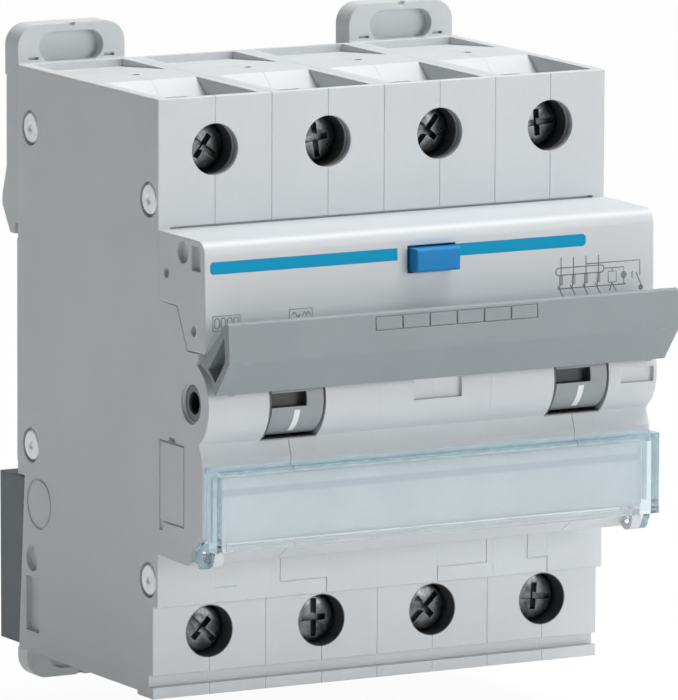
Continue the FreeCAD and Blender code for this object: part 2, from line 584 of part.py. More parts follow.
def rivet(y, z):
    """Long hollow-headed rivet through all shells."""
    end = WIDTH / 2
    shank = rod_x(RIVET_R, (-end + 0.3, end - 0.3), y, z)
    heads = []
    dimples = []
    for side in (-1, 1):
        head = tuple(sorted((side * (end - 0.8), side * (end - 0.1))))
        dimple = tuple(sorted((side * (end - 0.5), side * end)))
        heads.append(rod_x(RIVET_R + 0.6, head, y, z))
        dimples.append(rod_x(0.7, dimple, y, z))
    return fuse([shank] + heads).cut(dimples)


def thumb_tab(x, z, sign, y):
    """Rounded tab with an obround thumb recess, two slots and a dent; it ends at z."""
    half = CLIP_WIDTH / 2
    corner = 3.0
    tall = 7.2
    low = z - sign * tall
    plate = fuse([box((x - half, x + half), y, (low, z - sign * corner)),
                  box((x - half + corner, x + half - corner), y, (low, z)),
                  rod_y(corner, x - half + corner, y, z - sign * corner),
                  rod_y(corner, x + half - corner, y, z - sign * corner)])
    recess_r = 2.15
    z_mid = z - sign * 3.3
    reach = 2.9
    deep = (y[0] - 1, y[0] + 1.6)
    recess = fuse([rod_y(recess_r, x - reach, deep, z_mid), rod_y(recess_r, x + reach, deep, z_mid),
                   box((x - reach, x + reach), deep, (z_mid - recess_r, z_mid + recess_r))])
    cuts = [recess, rod_y(0.6, x, (y[0] - 1, y[0] + 0.8), z)]
    for side in (-1, 1):
        slot_x = x + side * 6.0
        level = tuple(sorted((z - sign * 4.95, z - sign * 4.6)))
        cuts.append(box((slot_x - 0.8, slot_x + 0.8), (y[0] - 1, y[0] + 0.6), level))
    return plate.cut(cuts)


def top_clip(x):
    """Sliding clip: thumb tab, plate, rail hook and the key that rides in the back wall."""
    half = CLIP_WIDTH / 2
    front = -RELIEF + SLIDE
    hook_front = RAIL_THICK + 0.3
    back = 3.9
    bulge = back + 1.3
    outline = [(front, TOP_Z), (back, TOP_Z), (back, RAIL_HALF + 8), (bulge, RAIL_HALF + 4)]
    outline += [(bulge, RAIL_HALF + 2.5), (2.8, HOOK_Z), (hook_front, HOOK_Z)]
    outline += [(hook_front, RAIL_HALF + 0.3), (front, RAIL_HALF + 0.3)]
    plate = prism(outline, (x - half, x + half))
    tab = thumb_tab(x, CLIP_TOP, 1, (front + 0.6, back + 0.4))
    inside = -RELIEF - WALL
    neck = box((x - CLIP_NECK, x + CLIP_NECK), (inside - SLIDE - 1.0, front + 0.2), KEY_Z)
    head = box((x - CLIP_NECK - 1.8, x + CLIP_NECK + 1.8), (inside - SLIDE - 1.0, inside - SLIDE), KEY_Z)
    return fuse([plate, tab, neck, head])


def bottom_clip(x):
    """Sliding clip of the rail foot: hook at the top, thumb tab below the housing."""
    end = BOTTOM_Z - 4.3
    hook_front = RAIL_THICK + 0.3
    bar = box((x - CHANNEL_HALF + SLIDE, x + CHANNEL_HALF - SLIDE), (hook_front, CHANNEL_BACK - SLIDE),
              (-HOOK_Z, end + 2.5))
    tab = thumb_tab(x, end, -1, (-2.4, 0.5))
    tab = tab.common(box((-BIG, BIG), (-BIG, BIG), (end - 1, BOTTOM_Z - 0.1)))
    web_half = CHANNEL_HALF - 1
    web = box((x - web_half, x + web_half), (-0.5, hook_front + 0.5), (end + 1.6, BOTTOM_Z - 0.1))
    stop = box((x - 2, x + 2), (CHANNEL_BACK - SLIDE - 0.1, CHANNEL_BACK + 0.5), STOP_Z)
    return fuse([bar, tab, web, stop])


def rail_foot():
    """Dark foot across the lower back: it backs the housing and guides the bottom clips."""
    def slope_y(z):
        (y0, z0), (y1, z1) = FOOT_SLOPE
        return y0 + (y1 - y0) * (z - z0) / (z1 - z0)
    low, high = FOOT_Z
    foot = prism([(slope_y(low), low), (slope_y(high), high), (FOOT_BACK + 0.2, high),
                  (FOOT_BACK, low)], (-WIDTH / 2, WIDTH / 2))
    cuts = []
    for x in CLIP_X.values():
        channel = (x - CHANNEL_HALF, x + CHANNEL_HALF)
        cuts.append(box(channel, (RAIL_THICK + 0.2, CHANNEL_BACK), (-BIG, BIG)))
        cuts.append(box((x - 2 - SLIDE, x + 2 + SLIDE), (CHANNEL_BACK - 0.5, CHANNEL_BACK + 0.6),
                        (STOP_Z[0] - CLIP_TRAVEL - SLIDE, STOP_Z[1] + SLIDE)))
    inner = (-WIDTH / 2 + PITCH + 1.5, WIDTH / 2 - PITCH - 1.5)
    cuts.append(box(inner, (1.2, 3.7), (low - 1, high - 2)))
    return foot.cut(cuts)


def terminal_screw(end, pole):
    """Cheese-head screw with a slot and cross recess."""
    x, z = pole_x(pole), SCREW_Z[end]
    head = rod_y(SCREW_HEAD_R, x, (HEAD_Y, HEAD_Y + HEAD_THICK), z)
    tip = TANG_Y - SLIDE
    shank = rod_y(SCREW_R, x, (HEAD_Y + HEAD_THICK - 0.1, tip), z)
    turn = 35 + 40 * pole + (15 if end == "load" else 0)
    slots = [box((x - 2.7, x + 2.7), (HEAD_Y - 1, HEAD_Y + 1.0), (z - 0.45, z + 0.45)),
             box((x - 0.45, x + 0.45), (HEAD_Y - 1, HEAD_Y + 1.2), (z - 1.9, z + 1.9))]
    recess = Part.makeCompound(slots)
    recess.rotate(FreeCAD.Vector(x, 0, z), FreeCAD.Vector(0, 1, 0), turn)
    screw = fuse([head, shank])
    for slot in recess.Solids:
        screw = screw.cut(slot)
    return screw


def terminal_clamp(end, pole):
    """Steel cage: threaded front plate, back plate and two side straps."""
    x, z = pole_x(pole), SCREW_Z[end]
    tall = (z - CLAMP_TALL / 2, z + CLAMP_TALL / 2)
    front = TANG_Y - SLIDE - PLATE
    back = GAP_Y + CLAMP_OPENING
    cage = box((x - CLAMP_HALF, x + CLAMP_HALF), (front, back + PLATE), tall)
    cage = cage.cut(box((x - CLAMP_HALF + 1.2, x + CLAMP_HALF - 1.2), (front + PLATE, back), (-BIG, BIG)))
    return cage.cut(rod_y(SCREW_R + RUN, x, (front - 1, front + PLATE + 1), z))


def line_contact(pole):
    """Copper strip: terminal tang, step, and a leg with the fixed contact pad."""
    x = pole_x(pole)
    step = WINDOW_TOP + 3.5
    leg = CONTACT_Y + PAD_THICK
    strip = prism([(TANG_Y, TOP_Z - 4.0), (TANG_Y, step), (leg, step), (leg, CONTACT_Z - 3),
                   (leg + STRIP, CONTACT_Z - 3), (leg + STRIP, step + STRIP), (GAP_Y, step + STRIP),
                   (GAP_Y, TOP_Z - 4.0)], (x - 3.8, x + 3.8))
    return fuse([strip, rod_y(PAD_R, x, (CONTACT_Y, leg + 0.1), CONTACT_Z)])


def contact_arm(pole):
    """Moving contact arm, clamped round the contact carrier."""
    x = pole_x(pole)
    hub = rod_x(CARRIER_R + 1.3, (x - 2.8, x + 2.8), CARRIER_Y, CARRIER_Z)
    pad_back = CONTACT_Y - RUN - PAD_THICK
    thick = 1.6
    pad_front = pad_back - thick
    outline = [(pad_back, CONTACT_Z + 2), (pad_front, CONTACT_Z + 2), (pad_front, CONTACT_Z - 4)]
    outline += [(CARRIER_Y - 1.8, CARRIER_Z + 1.6), (CARRIER_Y + 1.4, CARRIER_Z + 1.2)]
    outline.append((pad_back, CONTACT_Z - 4))
    arm = prism(outline, (x - 2, x + 2))
    pad = rod_y(PAD_R, x, (pad_back - 0.1, CONTACT_Y - RUN), CONTACT_Z)
    arm = fuse([hub, arm, pad])
    return arm.cut(rod_x(CARRIER_R, (-BIG, BIG), CARRIER_Y, CARRIER_Z))


def contact_carrier():
    reach = WIDTH / 2 - 0.5
    return rod_x(CARRIER_R, (-reach, reach), CARRIER_Y, CARRIER_Z)


def arc_chute(pole):
    """Two fibre cheeks and the stack of notched steel plates between them."""
    x = pole_x(pole)
    front = CONTACT_Y + PAD_THICK + STRIP + 1.6
    back = -4.0
    low = CARRIER_Z + 1.0
    high = WINDOW_TOP - 1.5
    half = HALF - WALL - GAP
    solids = [box((x + s * (half - 0.8), x + s * half), (front, back), (low, high)) for s in (-1, 1)]
    count = 8
    pitch = (high - low - 1.0) / (count - 1)
    for i in range(count):
        z = low + i * pitch
        plate = box((x - half + 0.8, x + half - 0.8), (front, back - 0.5), (z, z + 1.0))
        corners = [FreeCAD.Vector(x + dx, front + dy, z - 1) for dx, dy in ((-3, -1), (3, -1), (0, 6))]
        notch = Part.Face(Part.makePolygon(corners + corners[:1]))
        solids.append(plate.cut(notch.extrude(FreeCAD.Vector(0, 0, 3))))
    return solids


def trip_coil(pole):
    """Magnetic trip coil round its core pin."""
    x = pole_x(pole)
    y = SHOULDER + 5.6
    z = (4.5, 14.5)
    coil = rod_z(4.2, x, y, z).cut(rod_z(1.6, x, y, z))
    core = rod_z(1.6, x, y, (z[0] - 2.0, z[1] + 2.0))
    return [coil, core]


def bimetal(pole):
    """Thermal trip strip, standing on its foot."""
    x = pole_x(pole)
    z = WINDOW_BOTTOM - 0.6
    foot = box((x - 2.5, x + 2.5), (SHOULDER + 4.6, SHOULDER + 7.7), (z, z + 0.8))
    strip = box((x - 2.5, x + 2.5), (SHOULDER + 6.0, SHOULDER + 6.8), (z + 0.4, -1.0))
    return fuse([foot, strip])


def load_conductor(pole):
    """Insulated copper bar from below the contact arm, through the core, to the load terminal."""
    x = pole_x(pole)
    outer_pole = pole in (0, POLES - 1)
    lane = CORE_Y + (-2.0 if outer_pole else 2.0)
    inner_x = math.copysign(2.3, x)
    y = (lane - 1.0, lane + 1.0)
    high = CORE_Z + CORE_HALF + 4.5
    low = CORE_Z - CORE_HALF - 4.5
    t = 0.8
    riser = box((x - t, x + t), y, (high - t, CARRIER_Z - CARRIER_R - 1.6))
    run_in = box((min(x, inner_x) - t, max(x, inner_x) + t), y, (high - t, high + t))
    through = box((inner_x - t, inner_x + t), y, (low - t, high + t))
    run_out = box((min(x, inner_x) - t, max(x, inner_x) + t), y, (low - t, low + t))
    drop_z = SCREW_Z["load"] + CLAMP_TALL / 2 + 2.6
    drop = box((x - t, x + t), y, (drop_z, low + t))
    link = box((x - 3.8, x + 3.8), (TANG_Y, lane + 1.0), (drop_z, drop_z + STRIP))
    tang = box((x - 3.8, x + 3.8), (TANG_Y, GAP_Y), (SCREW_Z["load"] - CLAMP_TALL / 2, drop_z + STRIP))
    return fuse([riser, run_in, through, run_out, drop, link, tang])


def toroid_core():
    core = rod_z(CORE_R[1], 0, CORE_Y, (CORE_Z - CORE_HALF, CORE_Z + CORE_HALF))
    return core.cut(rod_z(CORE_R[0], 0, CORE_Y, (CORE_Z - BIG, CORE_Z + BIG)))


def toroid_winding():
    """Turns of the sensing winding, one loop each, evenly spread round the core."""
    turns = 24
    fit = 0.05
    z = (CORE_Z - CORE_HALF - WINDING, CORE_Z + CORE_HALF + WINDING)
    hole_z = (CORE_Z - CORE_HALF - fit, CORE_Z + CORE_HALF + fit)
    solids = []
    for i in range(turns):
        loop = box((CORE_R[0] - WINDING, CORE_R[1] + WINDING), (-0.3, 0.3), z)
        loop = loop.cut(box((CORE_R[0] - fit, CORE_R[1] + fit), (-1, 1), hole_z))
        loop.rotate(FreeCAD.Vector(0, 0, 0), FreeCAD.Vector(0, 0, 1), 360 * (i + 0.5) / turns)
        loop.translate(FreeCAD.Vector(0, CORE_Y, 0))
        solids.append(loop)
    return solids


def trip_relay():
    """Sealed trip relay with its striker pin, in the leftmost pole."""
    x0 = -WIDTH / 2 + WALL + GAP
    y = (CORE_Y + 2.0, CORE_Y + 11.0)
    can = box((x0, x0 + 12.4), y, (CORE_Z - 3.5, CORE_Z + 6.5))
    return fuse([can, rod_z(0.8, x0 + 4.0, CORE_Y + 6.5, (CORE_Z + 6, CORE_Z + 9))])


def circuit_board():
    """Board on the right wall with its parts, among them the test resistor."""
    x1 = WIDTH / 2 - WALL - GAP
    board = box((x1 - 1.0, x1), (CORE_Y - 11, CORE_Y + 11), (CORE_Z - 6, CORE_Z + 8))
    face = x1 - 1.0
    parts = [box((face - 2.2, face + 0.1), (CORE_Y - 9, CORE_Y - 4), (CORE_Z - 4, CORE_Z + 2)),
             box((face - 1.4, face + 0.1), (CORE_Y + 2, CORE_Y + 6), (CORE_Z + 2, CORE_Z + 6)),
             rod_x(2.0, (face - 2.8, face + 0.1), CORE_Y, CORE_Z - 2),
             rod_x(1.4, (face - 2.4, face + 0.1), CORE_Y + 8, CORE_Z - 3)]
    resistor = rod_y(1.1, face - 1.0, (CORE_Y - 3, CORE_Y + 5), CORE_Z + 0.0)
    return fuse([board] + parts + [resistor])


def main():
    os.makedirs("parts", exist_ok=True)
    poles = range(POLES)
    for pole in poles:
        save(f"pole_{pole + 1}_left", [half_shell(pole, -1)])
        save(f"pole_{pole + 1}_right", [half_shell(pole, 1)])
        save(f"line_contact_{pole + 1}", [line_contact(pole)])
        save(f"contact_arm_{pole + 1}", [contact_arm(pole)])
        save(f"arc_chute_{pole + 1}", arc_chute(pole))
        for end in ("line", "load"):
            save(f"{end}_screw_{pole + 1}", [terminal_screw(end, pole)])
            save(f"{end}_clamp_{pole + 1}", [terminal_clamp(end, pole)])
    for side, x0 in DRUM_X.items():
        save(f"toggle_{side}", [toggle(x0)])
    for side, x in CLIP_X.items():
        save(f"rail_clip_top_{side}", [top_clip(x)])
        save(f"rail_clip_bottom_{side}", [bottom_clip(x)])
    save("front_cover", [front_cover()])
    save("test_button", [test_button()])
    save("test_spring", [test_spring()])
    save("test_contact", [test_contact()])
    save("handle_bar", [handle_bar()])
    save("toggle_shaft", [toggle_shaft()])
    save("label_cover", [label_cover()])
    save("label_card", [label_card()])
    save("rivets", [rivet(y, z) for y, z in RIVETS])
    save("rail_foot", [rail_foot()])
    save("contact_carrier", [contact_carrier()])
    save("trip_coils", [solid for pole in poles for solid in trip_coil(pole)])
    save("bimetals", [bimetal(pole) for pole in poles])
    save("load_conductors", [load_conductor(pole) for pole in poles])
    save("toroid_core", [toroid_core()])
    save("toroid_winding", toroid_winding())
    save("trip_relay", [trip_relay()])
    save("circuit_board", [circuit_board()])


main()
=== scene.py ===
import json
import math

import bmesh
import bpy
from mathutils import Matrix, Vector


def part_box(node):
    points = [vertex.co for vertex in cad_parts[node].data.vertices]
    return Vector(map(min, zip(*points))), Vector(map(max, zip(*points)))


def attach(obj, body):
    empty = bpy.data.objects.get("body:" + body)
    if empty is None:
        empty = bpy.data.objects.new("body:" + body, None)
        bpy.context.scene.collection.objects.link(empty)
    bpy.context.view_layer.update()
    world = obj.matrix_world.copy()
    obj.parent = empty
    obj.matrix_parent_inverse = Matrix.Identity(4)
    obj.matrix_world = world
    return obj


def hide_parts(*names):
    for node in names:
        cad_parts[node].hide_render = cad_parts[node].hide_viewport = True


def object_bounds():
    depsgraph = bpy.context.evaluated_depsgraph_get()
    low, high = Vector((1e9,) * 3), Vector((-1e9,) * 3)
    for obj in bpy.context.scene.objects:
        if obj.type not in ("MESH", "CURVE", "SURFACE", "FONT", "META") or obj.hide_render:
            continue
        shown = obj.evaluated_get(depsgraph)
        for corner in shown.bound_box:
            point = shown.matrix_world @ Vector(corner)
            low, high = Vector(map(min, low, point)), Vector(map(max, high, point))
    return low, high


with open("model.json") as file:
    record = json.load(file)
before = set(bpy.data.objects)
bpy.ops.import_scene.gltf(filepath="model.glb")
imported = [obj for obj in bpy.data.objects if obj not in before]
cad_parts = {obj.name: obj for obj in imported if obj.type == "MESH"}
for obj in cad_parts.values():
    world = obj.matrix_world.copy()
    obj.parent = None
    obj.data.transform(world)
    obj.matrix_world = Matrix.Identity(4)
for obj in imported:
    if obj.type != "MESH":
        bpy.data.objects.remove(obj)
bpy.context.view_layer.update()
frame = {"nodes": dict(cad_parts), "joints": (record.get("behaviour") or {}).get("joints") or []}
nodes = frame["nodes"]
MM = 0.001


# Housing: eight half shells, two to a pole, injection moulded in a light grey
# thermoset with a fine spark-eroded texture. Rivets through every shell hold them.
def add(tree, kind, values=None, **settings):
    """A node of the tree; a value is a number for a socket, or another node's output."""
    made = tree.nodes.new(kind)
    for key, value in settings.items():
        setattr(made, key, value)
    for key, value in (values or {}).items():
        if isinstance(value, bpy.types.NodeSocket):
            tree.links.new(value, made.inputs[key])
        else:
            made.inputs[key].default_value = value
    return made


def math_of(tree, operation, *values):
    """The output of a Math node."""
    return add(tree, "ShaderNodeMath", dict(enumerate(values)), operation=operation).outputs[0]


def shade(red, green, blue):
    """A colour as it is read off a swatch, 0 to 255, turned linear."""
    parts = (value / 255 for value in (red, green, blue))
    return tuple(p / 12.92 if p <= 0.04045 else ((p + 0.055) / 1.055) ** 2.4 for p in parts) + (1.0,)


def blend_of(tree, factor, first, second, mode="MIX"):
    """The colour output of a Mix node."""
    mix = add(tree, "ShaderNodeMix", data_type="RGBA", blend_type=mode)
    for key, value in ((0, factor), (6, first), (7, second)):
        if isinstance(value, bpy.types.NodeSocket):
            tree.links.new(value, mix.inputs[key])
        else:
            mix.inputs[key].default_value = value
    return mix.outputs[2]


def ranged(tree, value, low, high, to_low=0.0, to_high=1.0):
    """The value moved from one range to another and clamped."""
    values = {0: value, 1: low, 2: high, 3: to_low, 4: to_high}
    return add(tree, "ShaderNodeMapRange", values).outputs[0]


def noise(tree, where, scale, detail, roughness):
    """The value of a Noise Texture."""
    return add(tree, "ShaderNodeTexNoise", {
        "Vector": where, "Scale": scale, "Detail": detail, "Roughness": roughness}).outputs[0]


def here(tree):
    """The object coordinates."""
    return add(tree, "ShaderNodeTexCoord").outputs["Object"]


def along(tree, axis):
    """One of the object coordinates."""
    return add(tree, "ShaderNodeSeparateXYZ", {0: here(tree)}).outputs[axis]


def group(name, inputs, outputs, kind="ShaderNodeTree"):
    """An empty node group with named sockets: (name, socket kind, value) and (name, socket kind)."""
    tree = bpy.data.node_groups.new(name, kind)
    for label, socket, value in inputs:
        made = tree.interface.new_socket(label, in_out="INPUT", socket_type=socket)
        if value is not None:
            made.default_value = value
    for label, socket in outputs:
        tree.interface.new_socket(label, in_out="OUTPUT", socket_type=socket)
    return tree, tree.nodes.new("NodeGroupInput").outputs, tree.nodes.new("NodeGroupOutput").inputs


def link_out(tree, ends, **sockets):
    """Links sockets to the outputs of a group by name."""
    for label, socket in sockets.items():
        tree.links.new(socket, ends[label.replace("_", " ")])


NUMBER, COLOUR, ARROW = "NodeSocketFloat", "NodeSocketColor", "NodeSocketVector"
# Moulded surface: grain and clouding, and a painted highlight along edges.
moulded, given, ends = group(
    "moulded surface",
    [("Color", COLOUR, (0.6, 0.6, 0.6, 1)), ("Roughness", NUMBER, 0.5),
     ("Grain Size", NUMBER, 0.00018), ("Grain Depth", NUMBER, 0.3), ("Clouding", NUMBER, 0.05),
     ("Edge Light", NUMBER, 0.25), ("Edge Width", NUMBER, 0.00015)],
    [("Color", COLOUR), ("Roughness", NUMBER), ("Height", NUMBER), ("Normal", ARROW)])
CLOUD_SCALE = 70.0
SPECKLE = 0.03
PIT_ROUGHNESS = 0.06
fineness = math_of(moulded, "DIVIDE", 1.0, given["Grain Size"])
pits = noise(moulded, here(moulded), fineness, detail=3.0, roughness=0.55)
flow = noise(moulded, here(moulded), CLOUD_SCALE, detail=2.0, roughness=0.5)
# Painted highlight: the colour is lightened towards white along edges, where the bevelled normal turns
# from the true one.
soft = add(moulded, "ShaderNodeBevel", {"Radius": given["Edge Width"]}, samples=4).outputs[0]
facing = add(moulded, "ShaderNodeNewGeometry").outputs["Normal"]
turn = add(moulded, "ShaderNodeVectorMath", {0: soft, 1: facing}, operation="DOT_PRODUCT")
edge = ranged(moulded, turn.outputs["Value"], 0.995, 0.8)
cloud = math_of(moulded, "MULTIPLY", ranged(moulded, flow, 0.3, 0.7), given["Clouding"])
speck = math_of(moulded, "MULTIPLY", ranged(moulded, pits, 0.35, 0.65), SPECKLE)
darker = blend_of(moulded, math_of(moulded, "ADD", cloud, speck), given["Color"], (0, 0, 0, 1))
edge_highlight = math_of(moulded, "MULTIPLY", edge, given["Edge Light"])
rougher = ranged(moulded, pits, 0.3, 0.7, -PIT_ROUGHNESS, PIT_ROUGHNESS)
link_out(moulded, ends, Color=blend_of(moulded, edge_highlight, darker, (1, 1, 1, 1)),
         Roughness=math_of(moulded, "ADD", given["Roughness"], rougher),
         Height=math_of(moulded, "MULTIPLY", pits, given["Grain Depth"]), Normal=soft)


def surface(name, effect, values, **shader):
    """A material whose Principled shader takes colour, roughness and relief from a node group."""
    material = bpy.data.materials.new(name)
    material.use_nodes = True
    tree = material.node_tree
    principled = tree.nodes["Principled BSDF"]
    look = add(tree, "ShaderNodeGroup", node_tree=effect)
    for key, value in values.items():
        look.inputs[key].default_value = value
    relief = add(tree, "ShaderNodeBump", {
        "Height": look.outputs["Height"], "Distance": 0.04 * MM, "Strength": 0.5})
    if "Normal" in look.outputs:
        tree.links.new(look.outputs["Normal"], relief.inputs["Normal"])
    tree.links.new(look.outputs["Color"], principled.inputs["Base Color"])
    tree.links.new(look.outputs["Roughness"], principled.inputs["Roughness"])
    tree.links.new(relief.outputs["Normal"], principled.inputs["Normal"])
    for key, value in shader.items():
        principled.inputs[key.replace("_", " ")].default_value = value
    return material


def tint(material, factor, colour):
    """Lays a second colour over a finished material where factor, a function of its tree, says."""
    tree = material.node_tree
    base = tree.nodes["Principled BSDF"].inputs["Base Color"]
    before = base.links[0].from_socket
    tree.links.new(blend_of(tree, factor(tree), before, colour), base)


def dress(material, *names):
    """Gives CAD nodes their finish."""
    for name in names:
        for slot in nodes[name].material_slots:
            slot.material = material


SHELLS = [f"pole_{pole}_{side}" for pole in range(1, 5) for side in ("left", "right")]
housing = surface("housing grey", moulded, {
    "Color": shade(212, 216, 219), "Roughness": 0.5, "Grain Depth": 0.35, "Clouding": 0.04,
    "Edge Light": 0.4}, IOR=1.48)
dress(housing, *SHELLS)
case_low, case_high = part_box("pole_1_left")[0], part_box("pole_4_right")[1]
shoulder_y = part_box("front_cover")[1].y
axle = Vector(next(joint for joint in frame["joints"] if joint["name"] == "handle_tilt")["pos_m"])
# Painted shade: the housing is darkened down each screw's access hole and in the gap round each drum,
# where light hardly reaches.
HOLE_EDGE, HOLE_INSIDE = 3.75 * MM, 3.66 * MM  # radii where the darkness starts and is whole
HOLE_DARKENS = (0.25 * MM, 1.6 * MM)           # depths where it starts and is whole
HOLE_DEPTH = 12 * MM
HOLE_DARK = 0.93
GAP_EDGE, GAP_INSIDE = 6.2 * MM, 5.9 * MM      # the same radii, round a drum
GAP_SIDE = 0.4 * MM
GAP_DARK = 0.85


def far_from(tree, across, centre):
    """Distance from a line along the axis whose entry in across is 0."""
    def step(operation, *values):
        return add(tree, "ShaderNodeVectorMath", dict(enumerate(values)), operation=operation).outputs
    flat = step("MULTIPLY", step("SUBTRACT", here(tree), centre)[0], across)[0]
    return step("LENGTH", flat)["Value"]


def hole_shade_mask(name):
    """A mask of painted shade that deepens down the access hole in front of a terminal screw."""
    middle = (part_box(name)[0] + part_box(name)[1]) / 2

    def mask(tree):
        depth = math_of(tree, "SUBTRACT", along(tree, "Y"), shoulder_y)
        near = ranged(tree, far_from(tree, (1, 0, 1), middle), HOLE_EDGE, HOLE_INSIDE)
        down = ranged(tree, depth, *HOLE_DARKENS, 0.0, HOLE_DARK)
        before_clamp = math_of(tree, "LESS_THAN", depth, HOLE_DEPTH)
        return math_of(tree, "MULTIPLY", math_of(tree, "MULTIPLY", near, down), before_clamp)
    return mask


def drum_gap_shade_mask(name):
    """A mask of painted shade over the walls of the gap round a toggle's drum."""
    low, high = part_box(name)
    reach = (high.x - low.x) / 2 + GAP_SIDE

    def mask(tree):
        off = math_of(tree, "ABSOLUTE", math_of(tree, "SUBTRACT", along(tree, "X"), (low.x + high.x) / 2))
        near = ranged(tree, far_from(tree, (0, 1, 1), axle), GAP_EDGE, GAP_INSIDE, 0.0, GAP_DARK)
        return math_of(tree, "MULTIPLY", near, math_of(tree, "LESS_THAN", off, reach))
    return mask


# Painted shade laid on the housing in the screw holes and round the drums.
for end in ("line", "load"):
    for pole in range(1, 5):
        tint(housing, hole_shade_mask(f"{end}_screw_{pole}"), shade(32, 35, 37))
for side in ("left", "right"):
    tint(housing, drum_gap_shade_mask(f"toggle_{side}"), shade(38, 42, 44))


# Rail foot: the dark glass-filled foot screwed across the lower back; it backs the
# housing and its channels guide the two bottom clips.
foot = surface("foot dark", moulded, {
    "Color": shade(114, 123, 127), "Roughness": 0.62, "Grain Size": 0.00028, "Grain Depth": 0.6,
    "Clouding": 0.12, "Edge Light": 0.12}, IOR=1.5)
dress(foot, "rail_foot")


# Rail clips: four sliding clips, satin moulded; the two lower ones are painted a paler grey, a painted
# brightening for the light thrown up onto them. The thumb tabs stand above and below the housing; each is
# snapped into its guide.
for level, name, colour in (("top", "clip grey", shade(207, 211, 213)),
                            ("bottom", "clip grey painted light", shade(236, 239, 241))):
    clip = surface(name, moulded, {
        "Color": colour, "Roughness": 0.42, "Grain Size": 0.00012, "Grain Depth": 0.15,
        "Clouding": 0.05, "Edge Light": 0.5, "Edge Width": 0.0003}, IOR=1.48)
    dress(clip, f"rail_clip_{level}_left", f"rail_clip_{level}_right")


# Rivets: four long tubular rivets of drawn aluminium through all the shells, their
# ends rolled over in the recesses of the two outer shells.
def pick(tree, index, values, kind="FLOAT"):
    """The value at an index, from sockets or numbers."""
    switch = add(tree, "GeometryNodeIndexSwitch", data_type=kind)
    while len(switch.index_switch_items) < len(values):
        switch.index_switch_items.new()
    tree.links.new(index, switch.inputs["Index"])
    for slot, value in enumerate(values, start=1):
        if isinstance(value, bpy.types.NodeSocket):
            tree.links.new(value, switch.inputs[slot])
        else:
            switch.inputs[slot].default_value = value
    return switch.outputs[0]


def lathe(tree, stations, turns):
    """Surface turned about Z through (radius, height) stations, each a socket or a number."""
    grid = add(tree, "GeometryNodeMeshGrid", {"Vertices X": len(stations), "Vertices Y": turns + 1})
    index = add(tree, "GeometryNodeInputIndex").outputs[0]
    ring = math_of(tree, "FLOOR", math_of(tree, "DIVIDE", index, turns + 1.0))
    angle = math_of(tree, "MULTIPLY", math_of(tree, "MODULO", index, turns + 1.0), math.tau / turns)
    radius, height = (pick(tree, ring, column) for column in zip(*stations))
    spot = add(tree, "ShaderNodeCombineXYZ", {
        0: math_of(tree, "MULTIPLY", radius, math_of(tree, "COSINE", angle)),
        1: math_of(tree, "MULTIPLY", radius, math_of(tree, "SINE", angle)), 2: height})
    shaped = add(tree, "GeometryNodeSetPosition", {
        "Geometry": grid.outputs["Mesh"], "Position": spot.outputs[0]}).outputs[0]
    return add(tree, "GeometryNodeMergeByDistance", {
        "Geometry": shaped, "Distance": 0.002 * MM}).outputs[0]


def close_tree(tree, ends, geometry, material):
    """Realizes the instances, sets the material and ends the tree."""
    real = add(tree, "GeometryNodeRealizeInstances", {"Geometry": geometry}).outputs[0]
    dressed = add(tree, "GeometryNodeSetMaterial", {"Geometry": real, "Material": material}).outputs[0]
    tree.links.new(dressed, ends["Geometry"])


def smooth_by_angle(mesh, limit=35, weld=1e-7):
    """Outward normals, smooth faces, and sharp edges where the surface turns more than the limit."""
    work = bmesh.new()
    work.from_mesh(mesh)
    bmesh.ops.remove_doubles(work, verts=work.verts, dist=weld)
    bmesh.ops.dissolve_degenerate(work, dist=weld, edges=work.edges)
    bmesh.ops.recalc_face_normals(work, faces=work.faces)
    for face in work.faces:
        face.smooth = True
    for line in work.edges:
        line.smooth = line.calc_face_angle(0) < math.radians(limit)
    work.to_mesh(mesh)
    work.free()


def bake(name, tree, values, body, *replaced, source=None):
    """Runs a Geometry Nodes tree with named inputs, keeps its plain mesh and rides it on a body."""
    start = source or bpy.data.objects.new(name, bpy.data.meshes.new(name))
    bpy.context.scene.collection.objects.link(start)
    maker = start.modifiers.new("make", "NODES")
    maker.node_group = tree
    for item in tree.interface.items_tree:
        if item.item_type == "SOCKET" and item.in_out == "INPUT" and item.name in values:
            maker[item.identifier] = values[item.name]
    seen = start.evaluated_get(bpy.context.evaluated_depsgraph_get())
    mesh = bpy.data.meshes.new_from_object(seen)
    start.modifiers.remove(maker)
    bpy.data.objects.remove(start)
    mesh.name = name
    smooth_by_angle(mesh)
    piece = bpy.data.objects.new(name, mesh)
    bpy.context.scene.collection.objects.link(piece)
    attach(piece, body)
    if replaced:
        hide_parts(*replaced)
    return piece


def hubs(name, spread, depth=0.01 * MM):
    """Centres (y, z) of a node's round ends on its +X side."""
    end_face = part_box(name)[1].x - depth
    found = []
    for vertex in nodes[name].data.vertices:
        if vertex.co.x > end_face:
            near = [ring for ring in found if (ring[0] - vertex.co).length < spread]
            if near:
                near[0].append(vertex.co.copy())
            else:
                found.append([vertex.co.copy()])
    return sorted([(min(p[i] for p in ring) + max(p[i] for p in ring)) / 2 for i in (1, 2)]
                  for ring in found)


